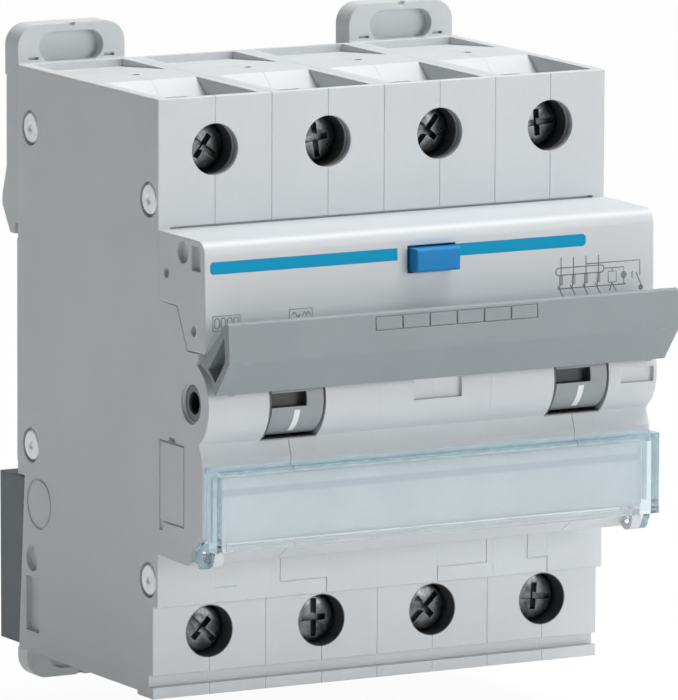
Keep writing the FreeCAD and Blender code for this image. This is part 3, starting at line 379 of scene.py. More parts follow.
GEOMETRY, STUFF = "NodeSocketGeometry", "NodeSocketMaterial"
RIVET_SPREAD = 6 * MM
rivet_places = hubs("rivets", RIVET_SPREAD)
rivet_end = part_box("rivets")[1].x
riveting, given, ends = group(
    "tubular rivets",
    [("Reach", NUMBER, 0.035), ("Shank Radius", NUMBER, 0.0015), ("Head Radius", NUMBER, 0.0021),
     ("Bore Radius", NUMBER, 0.00055), ("Bore Depth", NUMBER, 0.0003), ("Roll", NUMBER, 0.00045)]
    + [(f"Place {n}", ARROW, (0, 0, 0)) for n in range(1, 5)] + [("Material", STUFF, None)],
    [("Geometry", GEOMETRY)], "GeometryNodeTree")
half_profile = []
for radius, share, deep, lift in (
        ("Bore Radius", 0.0, "Bore Depth", -1.0), ("Bore Radius", 1.0, "Bore Depth", -1.0),
        ("Bore Radius", 1.0, "Roll", -0.35), ("Bore Radius", 1.35, "Roll", -0.08),
        ("Bore Radius", 1.8, "Roll", 0.0), ("Head Radius", 0.92, "Roll", -0.12),
        ("Head Radius", 1.0, "Roll", -0.5), ("Head Radius", 0.97, "Roll", -1.0),
        ("Shank Radius", 1.0, "Roll", -1.05)):
    half_profile.append((math_of(riveting, "MULTIPLY", given[radius], share),
                         math_of(riveting, "MULTIPLY_ADD", given[deep], lift, given["Reach"])))
profile = half_profile + [(radius, math_of(riveting, "MULTIPLY", height, -1.0))
                          for radius, height in reversed(half_profile)]
one = add(riveting, "GeometryNodeTransform", {
    "Geometry": lathe(riveting, profile, turns=40), "Rotation": (0, math.pi / 2, 0)}).outputs[0]
index = add(riveting, "GeometryNodeInputIndex").outputs[0]
which = pick(riveting, index, [given[f"Place {n}"] for n in range(1, 5)], "VECTOR")
dots = add(riveting, "GeometryNodePoints", {"Count": 4}).outputs[0]
dots = add(riveting, "GeometryNodeSetPosition", {"Geometry": dots, "Position": which}).outputs[0]
rows = add(riveting, "GeometryNodeInstanceOnPoints", {"Points": dots, "Instance": one}).outputs[0]
close_tree(riveting, ends, rows, given["Material"])

worn, given, ends = group(
    "worn metal",
    [("Color", COLOUR, (0.5, 0.5, 0.5, 1)), ("Tarnish And Shade", COLOUR, (0.2, 0.2, 0.2, 1)),
     ("Tarnish And Shade Amount", NUMBER, 0.4), ("Roughness", NUMBER, 0.3), ("Scratch Size", NUMBER, 0.0004),
     ("Stretch", ARROW, (1, 1, 8))],
    [("Color", COLOUR), ("Roughness", NUMBER), ("Height", NUMBER)])
SPOT_SCALE = 420.0
TARNISH_ROUGHNESS = 0.25
SCRATCH_HEIGHT = 0.4
drawn = add(worn, "ShaderNodeVectorMath", {0: here(worn), 1: given["Stretch"]}, operation="DIVIDE")
fineness = math_of(worn, "DIVIDE", 1.0, given["Scratch Size"])
lines = noise(worn, drawn.outputs[0], fineness, detail=4.0, roughness=0.65)
spots = noise(worn, here(worn), SPOT_SCALE, detail=5.0, roughness=0.6)
dull = math_of(worn, "MULTIPLY", ranged(worn, spots, 0.4, 0.65), given["Tarnish And Shade Amount"])
scratched = math_of(worn, "ADD", given["Roughness"], ranged(worn, lines, 0.3, 0.7, -0.08, 0.1))
link_out(worn, ends, Color=blend_of(worn, dull, given["Color"], given["Tarnish And Shade"]),
         Roughness=math_of(worn, "ADD", scratched, math_of(worn, "MULTIPLY", dull, TARNISH_ROUGHNESS)),
         Height=math_of(worn, "MULTIPLY", lines, SCRATCH_HEIGHT))

rivet_metal = surface("rivet metal", worn, {
    "Color": shade(244, 245, 246), "Tarnish And Shade": shade(214, 216, 218), "Tarnish And Shade Amount": 0.3,
    "Roughness": 0.36, "Scratch Size": 0.0003, "Stretch": (1, 1, 1)}, Metallic=0.35)
ROLL_STANDS = 0.1 * MM
rivets = bake("rivets_rolled", riveting, {
    "Reach": rivet_end + ROLL_STANDS, "Material": rivet_metal,
    **{f"Place {n}": (0.0, y, z) for n, (y, z) in enumerate(rivet_places, start=1)}}, "case", "rivets")


# Line contacts: punched copper strips, each with a terminal tang, a step over the
# shells' shelf and a leg that carries the silver contact pad.
BEYOND = 1.0  # farther out than any piece reaches


def between(axis, low, high, soft=0.02 * MM):
    """A mask that is 1 where the object coordinate lies between two values."""
    def mask(tree):
        value = along(tree, axis)
        above = ranged(tree, value, low - soft, low)
        return math_of(tree, "MULTIPLY", above, ranged(tree, value, high, high - soft))
    return mask


def each_pole(low, high):
    """A mask that is 1 where the distance from the nearest pole's centre lies between two values."""
    pitch = (case_high.x - case_low.x) / 4

    def mask(tree):
        inside = math_of(tree, "MODULO", math_of(tree, "ADD", along(tree, "X"), 4 * pitch), pitch)
        off = math_of(tree, "ABSOLUTE", math_of(tree, "SUBTRACT", inside, pitch / 2))
        above = math_of(tree, "GREATER_THAN", off, low)
        return math_of(tree, "MULTIPLY", above, math_of(tree, "LESS_THAN", off, high))
    return mask


copper = surface("contact copper", worn, {
    "Color": shade(224, 150, 112), "Tarnish And Shade": shade(150, 88, 62), "Tarnish And Shade Amount": 0.5,
    "Roughness": 0.28, "Scratch Size": 0.00035, "Stretch": (1, 1, 6)}, Metallic=1.0)
PAD_DROP, PAD_TALL = 3.9 * MM, 3.6 * MM
pad_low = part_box("contact_arm_1")[1].z - PAD_DROP
tint(copper, between("Z", pad_low, pad_low + PAD_TALL), shade(222, 222, 218))
dress(copper, *[f"line_contact_{pole}" for pole in range(1, 5)])


# Moving contacts: riveted copper arms with silver tips, clamped on the moulded black
# carrier that runs through all four poles and swings with the handle.
arm_copper = surface("arm copper", worn, {
    "Color": shade(214, 140, 100), "Tarnish And Shade": shade(128, 74, 52), "Tarnish And Shade Amount": 0.6,
    "Roughness": 0.34, "Scratch Size": 0.0005, "Stretch": (1, 4, 1)}, Metallic=1.0)
TIP_TALL = 3.7 * MM
tint(arm_copper, between("Z", pad_low, pad_low + TIP_TALL), shade(216, 216, 210))
dress(arm_copper, *[f"contact_arm_{pole}" for pole in range(1, 5)])
carrier_black = surface("carrier black", moulded, {
    "Color": shade(44, 45, 47), "Roughness": 0.48, "Grain Size": 0.0003, "Grain Depth": 0.5,
    "Clouding": 0.2, "Edge Light": 0.08}, IOR=1.53)
dress(carrier_black, "contact_carrier")


# Arc chutes: stacks of notched steel plates pressed between two cheeks of red
# vulcanised fibre, one behind each fixed contact.
chute = surface("chute plates", worn, {
    "Color": shade(178, 182, 186), "Tarnish And Shade": shade(110, 104, 98), "Tarnish And Shade Amount": 0.45,
    "Roughness": 0.4, "Scratch Size": 0.0005, "Stretch": (6, 1, 1)}, Metallic=0.25)
CHEEK_THICK = 0.81 * MM
chute_low, chute_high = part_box("arc_chute_1")
tint(chute, each_pole((chute_high.x - chute_low.x) / 2 - CHEEK_THICK, BEYOND), shade(158, 70, 48))
dress(chute, *[f"arc_chute_{pole}" for pole in range(1, 5)])


# Trip coils: enamelled copper wire wound in close turns on a steel core pin, one to a
# pole; they stand behind the label face.
coil_wire = surface("coil wire", worn, {
    "Color": shade(198, 104, 62), "Tarnish And Shade": shade(150, 66, 36), "Tarnish And Shade Amount": 0.5,
    "Roughness": 0.25, "Scratch Size": 0.0004, "Stretch": (4, 4, 1)}, Metallic=0.7, Coat_Weight=0.5)
WIRE_PITCH = 0.5 * MM
WIRE_RELIEF = 0.15 * MM
WIRE_HEIGHT = 0.6
tree = coil_wire.node_tree
turned = math_of(tree, "MULTIPLY", along(tree, "Z"), math.pi / WIRE_PITCH)
wave = math_of(tree, "ABSOLUTE", math_of(tree, "SINE", turned))
# Painted shade: the wire is darkened in the grooves between its turns.
tint(coil_wire, lambda tree: ranged(tree, wave, 0.35, 0.05), shade(70, 28, 16))
relief = next(node for node in tree.nodes if node.type == "BUMP")
relief.inputs["Distance"].default_value = WIRE_RELIEF
scratches = relief.inputs["Height"].links[0].from_socket
tree.links.new(math_of(tree, "MULTIPLY_ADD", wave, WIRE_HEIGHT, scratches), relief.inputs["Height"])
coil_low, coil_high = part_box("trip_coils")
CORE_REACH = 1.99 * MM
for low, high in ((coil_low.z - MM, coil_low.z + CORE_REACH),
                  (coil_high.z - CORE_REACH, coil_high.z + MM)):
    tint(coil_wire, between("Z", low, high), shade(186, 189, 192))
dress(coil_wire, "trip_coils")


# Bimetals: rolled strips of two alloys bonded face to face, standing on folded feet
# and darkened at their upper ends, where the braid is welded on.
bimetal = surface("bimetal strip", worn, {
    "Color": shade(206, 204, 196), "Tarnish And Shade": shade(160, 142, 112), "Tarnish And Shade Amount": 0.55,
    "Roughness": 0.3, "Scratch Size": 0.0003, "Stretch": (1, 1, 10)}, Metallic=1.0)
WELD_TALL = 3.0 * MM
strip_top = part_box("bimetals")[1].z
tint(bimetal, between("Z", strip_top - WELD_TALL, strip_top), shade(150, 120, 96))
dress(bimetal, "bimetals")


# Load conductors: copper bars in black heat-shrunk sleeve, bare at the terminal tangs,
# threaded through the sensing core.
sleeve = surface("sleeved bar", moulded, {
    "Color": shade(40, 43, 47), "Roughness": 0.4, "Grain Size": 0.0004, "Grain Depth": 0.4,
    "Clouding": 0.2, "Edge Light": 0.1}, IOR=1.5)
BARE_ABOVE_CLAMP = 1.6 * MM
tang_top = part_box("load_clamp_1")[1].z + BARE_ABOVE_CLAMP
tint(sleeve, between("Z", -BEYOND, tang_top), shade(204, 128, 92))
dress(sleeve, "load_conductors")


# Sensing core: a ring wound from thin magnetic strip, with evenly spread turns of
# enamelled wire as its secondary.
core_mid = (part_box("toroid_core")[0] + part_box("toroid_core")[1]) / 2
LAP, LAP_DARK = 0.22 * MM, 0.7
strip_rings = surface("core strip", worn, {
    "Color": shade(120, 122, 128), "Tarnish And Shade": shade(78, 80, 86), "Tarnish And Shade Amount": 0.5,
    "Roughness": 0.36, "Scratch Size": 0.0006, "Stretch": (1, 1, 1)}, Metallic=0.85)


def ring_lines(tree):
    """Fine dark lines round the core's own axis, one for each lap of the strip."""
    turned = math_of(tree, "MULTIPLY", far_from(tree, (1, 1, 0), core_mid), math.tau / LAP)
    return ranged(tree, math_of(tree, "SINE", turned), 0.2, 0.95, 0.0, LAP_DARK)


tint(strip_rings, ring_lines, shade(52, 54, 60))
dress(strip_rings, "toroid_core")
winding = surface("winding wire", worn, {
    "Color": shade(176, 82, 44), "Tarnish And Shade": shade(120, 48, 26), "Tarnish And Shade Amount": 0.4,
    "Roughness": 0.22, "Scratch Size": 0.0005, "Stretch": (1, 1, 1)}, Metallic=0.6, Coat_Weight=0.6)
dress(winding, "toroid_winding")


# Trip relay: a sealed black moulded can in the leftmost pole, with a bright steel
# striker pin through its top.
relay = surface("relay can", moulded, {
    "Color": shade(36, 37, 39), "Roughness": 0.35, "Grain Size": 0.00025, "Grain Depth": 0.3,
    "Clouding": 0.15, "Edge Light": 0.15, "Edge Width": 0.0003}, IOR=1.53)
PIN_TALL = 2.5 * MM
pin_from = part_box("trip_relay")[1].z - PIN_TALL
tint(relay, between("Z", pin_from, BEYOND), shade(190, 192, 194))
dress(relay, "trip_relay")


# Circuit board: glass-fibre board with green solder mask and tracks, on the right
# wall; its parts and the test resistor stand off its face.
board = surface("board green", moulded, {
    "Color": shade(22, 104, 62), "Roughness": 0.32, "Grain Size": 0.0005, "Grain Depth": 0.2,
    "Clouding": 0.15, "Edge Light": 0.1}, IOR=1.5)
BOARD_THICK = 1.05 * MM
RESISTOR_FAR, RESISTOR_NEAR = 3.0 * MM, 1.55 * MM
TRACK_SHOWS = 0.8


def tracks(tree):
    """Copper tracks under the solder mask, in straight lengths."""
    turned = add(tree, "ShaderNodeMapping", {
        "Vector": here(tree), "Rotation": (0.0, math.pi / 2, 0.0)}).outputs[0]
    lanes = add(tree, "ShaderNodeTexBrick", {
        "Vector": turned, "Scale": 140.0, "Mortar Size": 0.06, "Color1": (0, 0, 0, 1),
        "Color2": (0, 0, 0, 1), "Mortar": (1, 1, 1, 1)}, offset=0.35)
    return math_of(tree, "MULTIPLY", lanes.outputs["Fac"], TRACK_SHOWS)


tint(board, tracks, shade(46, 146, 88))
board_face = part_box("circuit_board")[1].x - BOARD_THICK
tint(board, between("X", -BEYOND, board_face), shade(58, 62, 72))
tint(board, between("X", board_face - RESISTOR_FAR, board_face - RESISTOR_NEAR), shade(150, 118, 74))
dress(board, "circuit_board")


# Test circuit: a coiled steel return spring behind the button and a spring-bronze leaf
# on the shells' ledge that the button's stem presses.
spring_steel = surface("spring steel", worn, {
    "Color": shade(190, 192, 196), "Tarnish And Shade": shade(120, 122, 128), "Tarnish And Shade Amount": 0.35,
    "Roughness": 0.2, "Scratch Size": 0.0003, "Stretch": (1, 1, 1)}, Metallic=1.0)
dress(spring_steel, "test_spring")
bronze = surface("spring bronze", worn, {
    "Color": shade(206, 160, 98), "Tarnish And Shade": shade(140, 98, 56), "Tarnish And Shade Amount": 0.4,
    "Roughness": 0.26, "Scratch Size": 0.0003, "Stretch": (1, 1, 8)}, Metallic=1.0)
dress(bronze, "test_contact")


# Terminal clamps: cages of zinc-plated steel, folded and tapped for the screws; they
# ride up the screws to grip a conductor against the tang.
zinc = surface("zinc plate", worn, {
    "Color": shade(196, 198, 202), "Tarnish And Shade": shade(132, 132, 130), "Tarnish And Shade Amount": 0.5,
    "Roughness": 0.33, "Scratch Size": 0.0005, "Stretch": (1, 1, 5)}, Metallic=1.0)
ENDS = [(end, pole) for end in ("line", "load") for pole in range(1, 5)]
dress(zinc, *[f"{end}_clamp_{pole}" for end, pole in ENDS])


# Terminal screws: eight M5 cheese-head screws of plated steel with a slot and a cross
# recess, deep in the access holes; the rolled thread drives the clamp.
threading, given, ends = group(
    "terminal screw",
    [("Head Radius", NUMBER, 0.0033), ("Head Height", NUMBER, 0.0018), ("Thread Radius", NUMBER, 0.0025),
     ("Thread Depth", NUMBER, 0.00034), ("Length", NUMBER, 0.0066), ("Thread Turns", NUMBER, 5.6),
     ("Thread Rise", NUMBER, 0.0045), ("Slot Width", NUMBER, 0.0009), ("Slot Turn", NUMBER, 0.0),
     ("Place", ARROW, (0, 0, 0)), ("Material", STUFF, None)],
    [("Geometry", GEOMETRY)], "GeometryNodeTree")
THREAD_START, TIP_CHAMFER = 0.1 * MM, 0.4 * MM
SLOT_SHARE, CROSS_SHARE = (1.64, 1.1), (1.15, 1.4)
radius, tall, length = given["Head Radius"], given["Head Height"], given["Length"]


def times(value, share):
    """A share of one of the screw's sizes."""
    return math_of(threading, "MULTIPLY", value, share)


def turned_by(geometry, rotation):
    """The geometry turned about the origin."""
    return add(threading, "GeometryNodeTransform", {
        "Geometry": geometry, "Rotation": rotation}).outputs[0]


def cutter(long, deep):
    """A bar as wide as the slot, in shares of the head's radius and height."""
    size = add(threading, "ShaderNodeCombineXYZ", {
        0: times(radius, long), 1: given["Slot Width"], 2: times(tall, deep)}).outputs[0]
    return add(threading, "GeometryNodeMeshCube", {"Size": size}).outputs[0]


root = math_of(threading, "SUBTRACT", given["Thread Radius"], given["Thread Depth"])
stations = [(0.0, 0.0), (times(radius, 0.86), 0.0), (times(radius, 0.95), times(tall, 0.06)),
            (radius, times(tall, 0.2)), (radius, times(tall, 0.92)), (times(radius, 0.96), tall),
            (root, tall), (root, math_of(threading, "SUBTRACT", length, TIP_CHAMFER)),
            (times(root, 0.8), length), (0.0, length)]
angle = add(threading, "ShaderNodeCombineXYZ", {2: given["Slot Turn"]}).outputs[0]
bar = turned_by(cutter(*SLOT_SHARE), angle)
crossed = turned_by(turned_by(cutter(*CROSS_SHARE), (0, 0, math.pi / 2)), angle)
head = add(threading, "GeometryNodeMeshBoolean", {"Mesh 1": lathe(threading, stations, turns=56)},
           operation="DIFFERENCE", solver="EXACT")
threading.links.new(bar, head.inputs["Mesh 2"])
threading.links.new(crossed, head.inputs["Mesh 2"])
crest = times(given["Thread Depth"], 0.58)
mean = math_of(threading, "SUBTRACT", given["Thread Radius"], crest)
path = add(threading, "GeometryNodeCurveSpiral", {
    "Resolution": 28, "Rotations": given["Thread Turns"], "Start Radius": mean, "End Radius": mean,
    "Height": given["Thread Rise"]}).outputs[0]
ridge = add(threading, "GeometryNodeCurvePrimitiveCircle", {
    "Resolution": 5, "Radius": crest}).outputs[0]
thread = add(threading, "GeometryNodeCurveToMesh", {
    "Curve": path, "Profile Curve": ridge, "Fill Caps": True}).outputs[0]
lift = add(threading, "ShaderNodeCombineXYZ", {
    2: math_of(threading, "ADD", tall, THREAD_START)}).outputs[0]
thread = add(threading, "GeometryNodeTransform", {"Geometry": thread, "Translation": lift}).outputs[0]
both = add(threading, "GeometryNodeJoinGeometry")
threading.links.new(head.outputs[0], both.inputs[0])
threading.links.new(thread, both.inputs[0])
laid = add(threading, "GeometryNodeTransform", {
    "Geometry": both.outputs[0], "Rotation": (-math.pi / 2, 0, 0),
    "Translation": given["Place"]}).outputs[0]
close_tree(threading, ends, laid, given["Material"])

# The heavy dark tarnish on the screws is partly real tarnish and partly painted shade: it darkens them as
# the shade deep in their holes would.
screw_steel = surface("screw steel", worn, {
    "Color": shade(120, 122, 124), "Tarnish And Shade": shade(40, 40, 42), "Tarnish And Shade Amount": 0.8,
    "Roughness": 0.27, "Scratch Size": 0.0004, "Stretch": (1, 1, 1)}, Metallic=1.0)
FIRST_TURN, NEXT_TURN = math.radians(35), math.radians(47)
for number, (end, pole) in enumerate(ENDS):
    name = f"{end}_screw_{pole}"
    low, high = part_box(name)
    screw = bake(f"{name}_threaded", threading, {
        "Head Radius": (high.x - low.x) / 2, "Length": high.y - low.y, "Material": screw_steel,
        "Slot Turn": FIRST_TURN + NEXT_TURN * number,
        "Place": ((low.x + high.x) / 2, low.y, (low.z + high.z) / 2)}, f"{name}_body", name)


# Front cover: the white-grey label face with its rounded top edge and two cheeks,
# moulded in one piece with a fine satin finish, snapped over the top of the raised front.
front_white = surface("front white", moulded, {
    "Color": shade(208, 212, 215), "Roughness": 0.44, "Grain Size": 0.0001, "Grain Depth": 0.08,
    "Clouding": 0.02, "Edge Light": 0.4, "Edge Width": 0.0003}, IOR=1.49)
dress(front_white, "front_cover")
cover_low, cover_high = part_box("front_cover")
LEAN = 0.3 * MM
LEAN_FROM = 7.6 * MM


def face_y(z):
    """Front of the label face at a height; it leans forward towards its lower end."""
    return cover_low.y + LEAN * (z - LEAN_FROM) / (cover_high.z - LEAN_FROM)


# Print on the label face: a blue band either side of the button, with rounded outer
# ends, pad printed about a hundredth of a millimetre thick.
INK = 0.015 * MM
BAND_Z = (18.05, 19.75)
BAND_LEFT, BAND_RIGHT = (-34.55, -5.4), (3.6, 24.5)
SQUARE_END, LEFT_ROUND, RIGHT_ROUND = 0.04, 0.5, 0.6


def inked(name, outlines, material):
    """Flat printed shapes on the label face, each a thin closed solid.

    The outlines are (x, z) points in millimetres.
    """
    work = bmesh.new()
    for outline in outlines:
        back, front = ([work.verts.new((x * MM, face_y(z * MM) - lift, z * MM)) for x, z in outline]
                       for lift in (-INK, INK))
        work.faces.new(back)
        work.faces.new(front)
        for n in range(len(outline)):
            m = (n + 1) % len(outline)
            work.faces.new((back[n], back[m], front[m], front[n]))
    mesh = bpy.data.meshes.new(name)
    bmesh.ops.recalc_face_normals(work, faces=work.faces)
    bmesh.ops.triangulate(work, faces=work.faces)
    work.to_mesh(mesh)
    work.free()
    mesh.materials.append(material)
    piece = bpy.data.objects.new(name, mesh)
    bpy.context.scene.collection.objects.link(piece)
    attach(piece, "case")


def band(x0, x1, z0, z1, left_round, right_round):
    """Outline of a bar with rounded corners at either end."""
    points = []
    for x, z, radius, start in ((x1, z0, right_round, 270), (x1, z1, right_round, 0),
                                (x0, z1, left_round, 90), (x0, z0, left_round, 180)):
        inward_x, inward_z = math.copysign(1, x0 + x1 - 2 * x), math.copysign(1, z0 + z1 - 2 * z)
        for step in range(7):
            turn = math.radians(start + 15 * step)
            points.append((x + radius * (inward_x + math.cos(turn)),
                           z + radius * (inward_z + math.sin(turn))))
    return points


band_blue = surface("band blue", moulded, {
    "Color": shade(0, 156, 200), "Roughness": 0.6, "Grain Size": 0.0001, "Grain Depth": 0.05,
    "Clouding": 0.03, "Edge Light": 0.0}, Specular_IOR_Level=0.15)
inked("label_band", [band(*BAND_LEFT, *BAND_Z, LEFT_ROUND, SQUARE_END),
                     band(*BAND_RIGHT, *BAND_Z, SQUARE_END, RIGHT_ROUND)], band_blue)


# Fine print on the label face: the wiring symbol and plain frames for the ratings, in
# grey ink lines laid along paths.
tracing, given, ends = group(
    "printed line",
    [("Geometry", GEOMETRY, None), ("Width", NUMBER, 0.00012), ("Flatten", NUMBER, 0.12),
     ("Face Y", NUMBER, 0.0), ("Lean", NUMBER, 0.0), ("Lean From", NUMBER, 0.0),
     ("Material", STUFF, None)],
    [("Geometry", GEOMETRY)], "GeometryNodeTree")
pen = add(tracing, "GeometryNodeCurvePrimitiveCircle", {
    "Resolution": 8, "Radius": math_of(tracing, "MULTIPLY", given["Width"], 0.5)}).outputs[0]
line = add(tracing, "GeometryNodeCurveToMesh", {
    "Curve": given["Geometry"], "Profile Curve": pen, "Fill Caps": True}).outputs[0]
position = add(tracing, "GeometryNodeInputPosition").outputs[0]
at = add(tracing, "ShaderNodeSeparateXYZ", {0: position}).outputs
height = math_of(tracing, "SUBTRACT", at["Z"], given["Lean From"])
level = math_of(tracing, "MULTIPLY_ADD", height, given["Lean"], given["Face Y"])
flat = math_of(tracing, "MULTIPLY_ADD", at["Y"], given["Flatten"], level)
laid = add(tracing, "ShaderNodeCombineXYZ", {0: at["X"], 1: flat, 2: at["Z"]}).outputs[0]
shaped = add(tracing, "GeometryNodeSetPosition", {"Geometry": line, "Position": laid}).outputs[0]
close_tree(tracing, ends, shaped, given["Material"])
print_grey = surface("print grey", moulded, {
    "Color": shade(146, 150, 153), "Roughness": 0.5, "Grain Size": 0.0001, "Grain Depth": 0.05,
    "Clouding": 0.05, "Edge Light": 0.0}, IOR=1.48)


def traced(name, paths, width):
    """Printed lines through (x, z) points in millimetres."""
    curve = bpy.data.curves.new(name, "CURVE")
    curve.dimensions = "3D"
    for path in paths:
        spline = curve.splines.new("POLY")
        spline.points.add(len(path) - 1)
        for point, (x, z) in zip(spline.points, path):
            point.co = (x * MM, 0.0, z * MM, 1.0)
    start = bpy.data.objects.new(name, curve)
    piece = bake(name, tracing, {
        "Width": width * MM, "Face Y": cover_low.y, "Lean": LEAN / (cover_high.z - LEAN_FROM),
        "Lean From": LEAN_FROM, "Material": print_grey}, "case", source=start)


def ring_path(x, z, radius, steps):
    """Points round a circle."""
    return [(x + radius * math.cos(math.tau * n / steps), z + radius * math.sin(math.tau * n / steps))
            for n in range(steps + 1)]


def frame_path(x0, x1, z0, z1):
    """Corners of a rectangle."""
    return [(x0, z0), (x1, z0), (x1, z1), (x0, z1), (x0, z0)]


SYMBOL_LINE, FRAME_LINE = 0.16, 0.13
FIRST_WIRE, WIRE_APART = 20.54, 2.0
WIRE_TOP, POLE_TOP, POLE_FOOT = 16.65, 14.1, 12.9
RING_X, RING_Z, RING_ROUND = (19.7, 27.4), (14.2, 15.2), 0.45
CELL_X, CELL_Z, CELL_ROUND, CELL_APART = (-33.9, -33.2), (10.6, 12.0), 0.3, 0.98
WAVE_AT, WAVE_TALL = (-21.9, 11.7), 0.35
PULSE_AT, PULSE_TALL = (-20.3, 11.5), 0.5
WAVE_STEP = 0.1
symbol = []
for n in range(4):
    x = FIRST_WIRE + WIRE_APART * n
    symbol += [[(x, WIRE_TOP), (x, POLE_TOP)], frame_path(x - 0.22, x + 0.22, POLE_FOOT, POLE_TOP),
               [(x, POLE_TOP), (x, POLE_FOOT)], [(x - 0.55, 12.8), (x + 0.3, 11.2)],
               [(x - 0.2, 12.2), (x - 0.2, POLE_FOOT)]]
ring = band(*RING_X, *RING_Z, RING_ROUND, RING_ROUND)
symbol += [
    ring + ring[:1],
    [(19.9, 12.3), (31.0, 12.3)],                     # link across the poles
    [(24.6, 15.5), (33.2, 15.5), (33.2, 13.4)],       # test lead
    [(RING_X[1], 14.7), (30.6, 14.7), (30.6, 12.3)],  # lead from the ring to the relay
    frame_path(28.1, 29.4, 12.7, 14.2),               # relay and its leads
    [(28.75, 14.2), (28.75, 14.7)], [(28.75, 12.7), (28.3, 11.5)], [(28.6, 12.7), (29.4, 11.4)],
    ring_path(30.6, 13.6, 0.42, 12), ring_path(30.6, 13.6, 0.2, 10),
    [(32.1, 13.1), (31.8, 13.3), (32.1, 13.5), (31.8, 13.7), (32.1, 13.9)],  # test resistor
    [(32.6, 13.8), (33.4, 12.0)],                     # test switch and its button
    ring_path(33.35, 11.65, 0.3, 12), ring_path(33.35, 11.65, 0.14, 8)]
traced("wiring_symbol", symbol, SYMBOL_LINE)
sines = [(WAVE_STEP * n, math.sin(n * math.pi / 6)) for n in range(13)]
wave = [(WAVE_AT[0] + along_x, WAVE_AT[1] + WAVE_TALL * sine) for along_x, sine in sines]
pulses = [(PULSE_AT[0] + along_x, PULSE_AT[1] + PULSE_TALL * abs(sine)) for along_x, sine in sines]
cells = [band(CELL_X[0] + CELL_APART * n, CELL_X[1] + CELL_APART * n, *CELL_Z, CELL_ROUND, CELL_ROUND)
         for n in range(4)]
frames = [frame_path(-34.2, -30.0, 10.3, 12.3), frame_path(-22.35, -18.8, 11.0, 12.45)]
traced("rating_frames", [cell + cell[:1] for cell in cells] + frames + [wave, pulses], FRAME_LINE)


# Test button: a satin blue moulded key that stands proud of the label face, free to
# slide in its opening against the spring.
blue = surface("button blue", moulded, {
    "Color": shade(8, 131, 197), "Roughness": 0.48, "Grain Size": 0.00012, "Grain Depth": 0.12,
    "Clouding": 0.03, "Edge Light": 0.12, "Edge Width": 0.0003}, Specular_IOR_Level=0.25)
dress(blue, "test_button")


# Toggles and shaft: two moulded drums with levers, keyed to the through shaft and
# locked into the handle bar; a white bar on each drum shows that the device is on.
drum_grey = surface("drum grey", moulded, {
    "Color": shade(156, 161, 164), "Roughness": 0.45, "Grain Size": 0.00015, "Grain Depth": 0.2,
    "Clouding": 0.05, "Edge Light": 0.25}, IOR=1.49)
DRUM_RADIUS = 5.2 * MM
RECESS_FROM, RECESS_FULL = 5.15 * MM, 4.9 * MM
RECESS_DARK = 0.85


def drum_recess_shade(tree):
    """A mask of painted shade over everything that lies below the drum's round surface."""
    return ranged(tree, far_from(tree, (0, 1, 1), axle), RECESS_FROM, RECESS_FULL, 0.0, RECESS_DARK)


# Painted shade: the drum is darkened below its round surface, in its slots and recesses.
tint(drum_grey, drum_recess_shade, shade(30, 33, 35))
dress(drum_grey, "toggle_left", "toggle_right")
shaft_grey = surface("shaft grey", moulded, {
    "Color": shade(112, 118, 121), "Roughness": 0.42, "Grain Size": 0.00015, "Grain Depth": 0.2,
    "Clouding": 0.05, "Edge Light": 0.2}, IOR=1.49)
# Painted shade: the shaft is darkened from half a millimetre inside its ends, so its socket bore reads as
# shaded.
SHAFT_END, SHAFT_FADE = 0.5 * MM, 0.3 * MM
shaft_low, shaft_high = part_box("toggle_shaft")
tint(shaft_grey, between("X", shaft_low.x + SHAFT_END, shaft_high.x - SHAFT_END, SHAFT_FADE),
     shade(26, 28, 30))
dress(shaft_grey, "toggle_shaft")
mark_white = surface("mark white", moulded, {
    "Color": shade(240, 241, 242), "Roughness": 0.4, "Grain Size": 0.0001, "Grain Depth": 0.05,
    "Clouding": 0.02, "Edge Light": 0.0}, IOR=1.48)
MARK_AT, MARK_SHIFT = 0.46, 0.3 * MM
MARK_HALF, MARK_THICK = 0.45 * MM, 0.02 * MM
MARK_FROM, MARK_ARC, MARK_STEPS = -13.0, 44.0, 12
for side in ("left", "right"):
    low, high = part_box(f"toggle_{side}")
    middle = low.x + MARK_AT * (high.x - low.x) + MARK_SHIFT
    below, above = DRUM_RADIUS - MARK_THICK, DRUM_RADIUS + MARK_THICK
    section = [(middle - MARK_HALF, below), (middle + MARK_HALF, below),
               (middle + MARK_HALF, above), (middle - MARK_HALF, above)]
    work = bmesh.new()
    loops = []
    for step in range(MARK_STEPS + 1):
        turn = math.radians(MARK_FROM - MARK_ARC * step / MARK_STEPS)
        loops.append([work.verts.new((x, axle.y - radius * math.cos(turn),
                                      axle.z + radius * math.sin(turn))) for x, radius in section])
    for first, second in zip(loops, loops[1:]):
        for n in range(4):
            work.faces.new((first[n], first[(n + 1) % 4], second[(n + 1) % 4], second[n]))
    work.faces.new(loops[0])
    work.faces.new(loops[-1])
    bmesh.ops.recalc_face_normals(work, faces=work.faces)
    mesh = bpy.data.meshes.new(f"on_mark_{side}")
    work.to_mesh(mesh)
    work.free()
    mesh.materials.append(mark_white)
    mark = bpy.data.objects.new(f"on_mark_{side}", mesh)
    bpy.context.scene.collection.objects.link(mark)
    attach(mark, "handle")


# Handle bar: a hollow grey moulding across all four poles that ties the toggles
# together; six marking cells are engraved in its front.
bar_grey = surface("bar grey", moulded, {
    "Color": shade(147, 155, 158), "Roughness": 0.5, "Grain Size": 0.0002, "Grain Depth": 0.45,
    "Clouding": 0.08, "Edge Light": 0.3, "Edge Width": 0.0002}, IOR=1.49)
dress(bar_grey, "handle_bar")


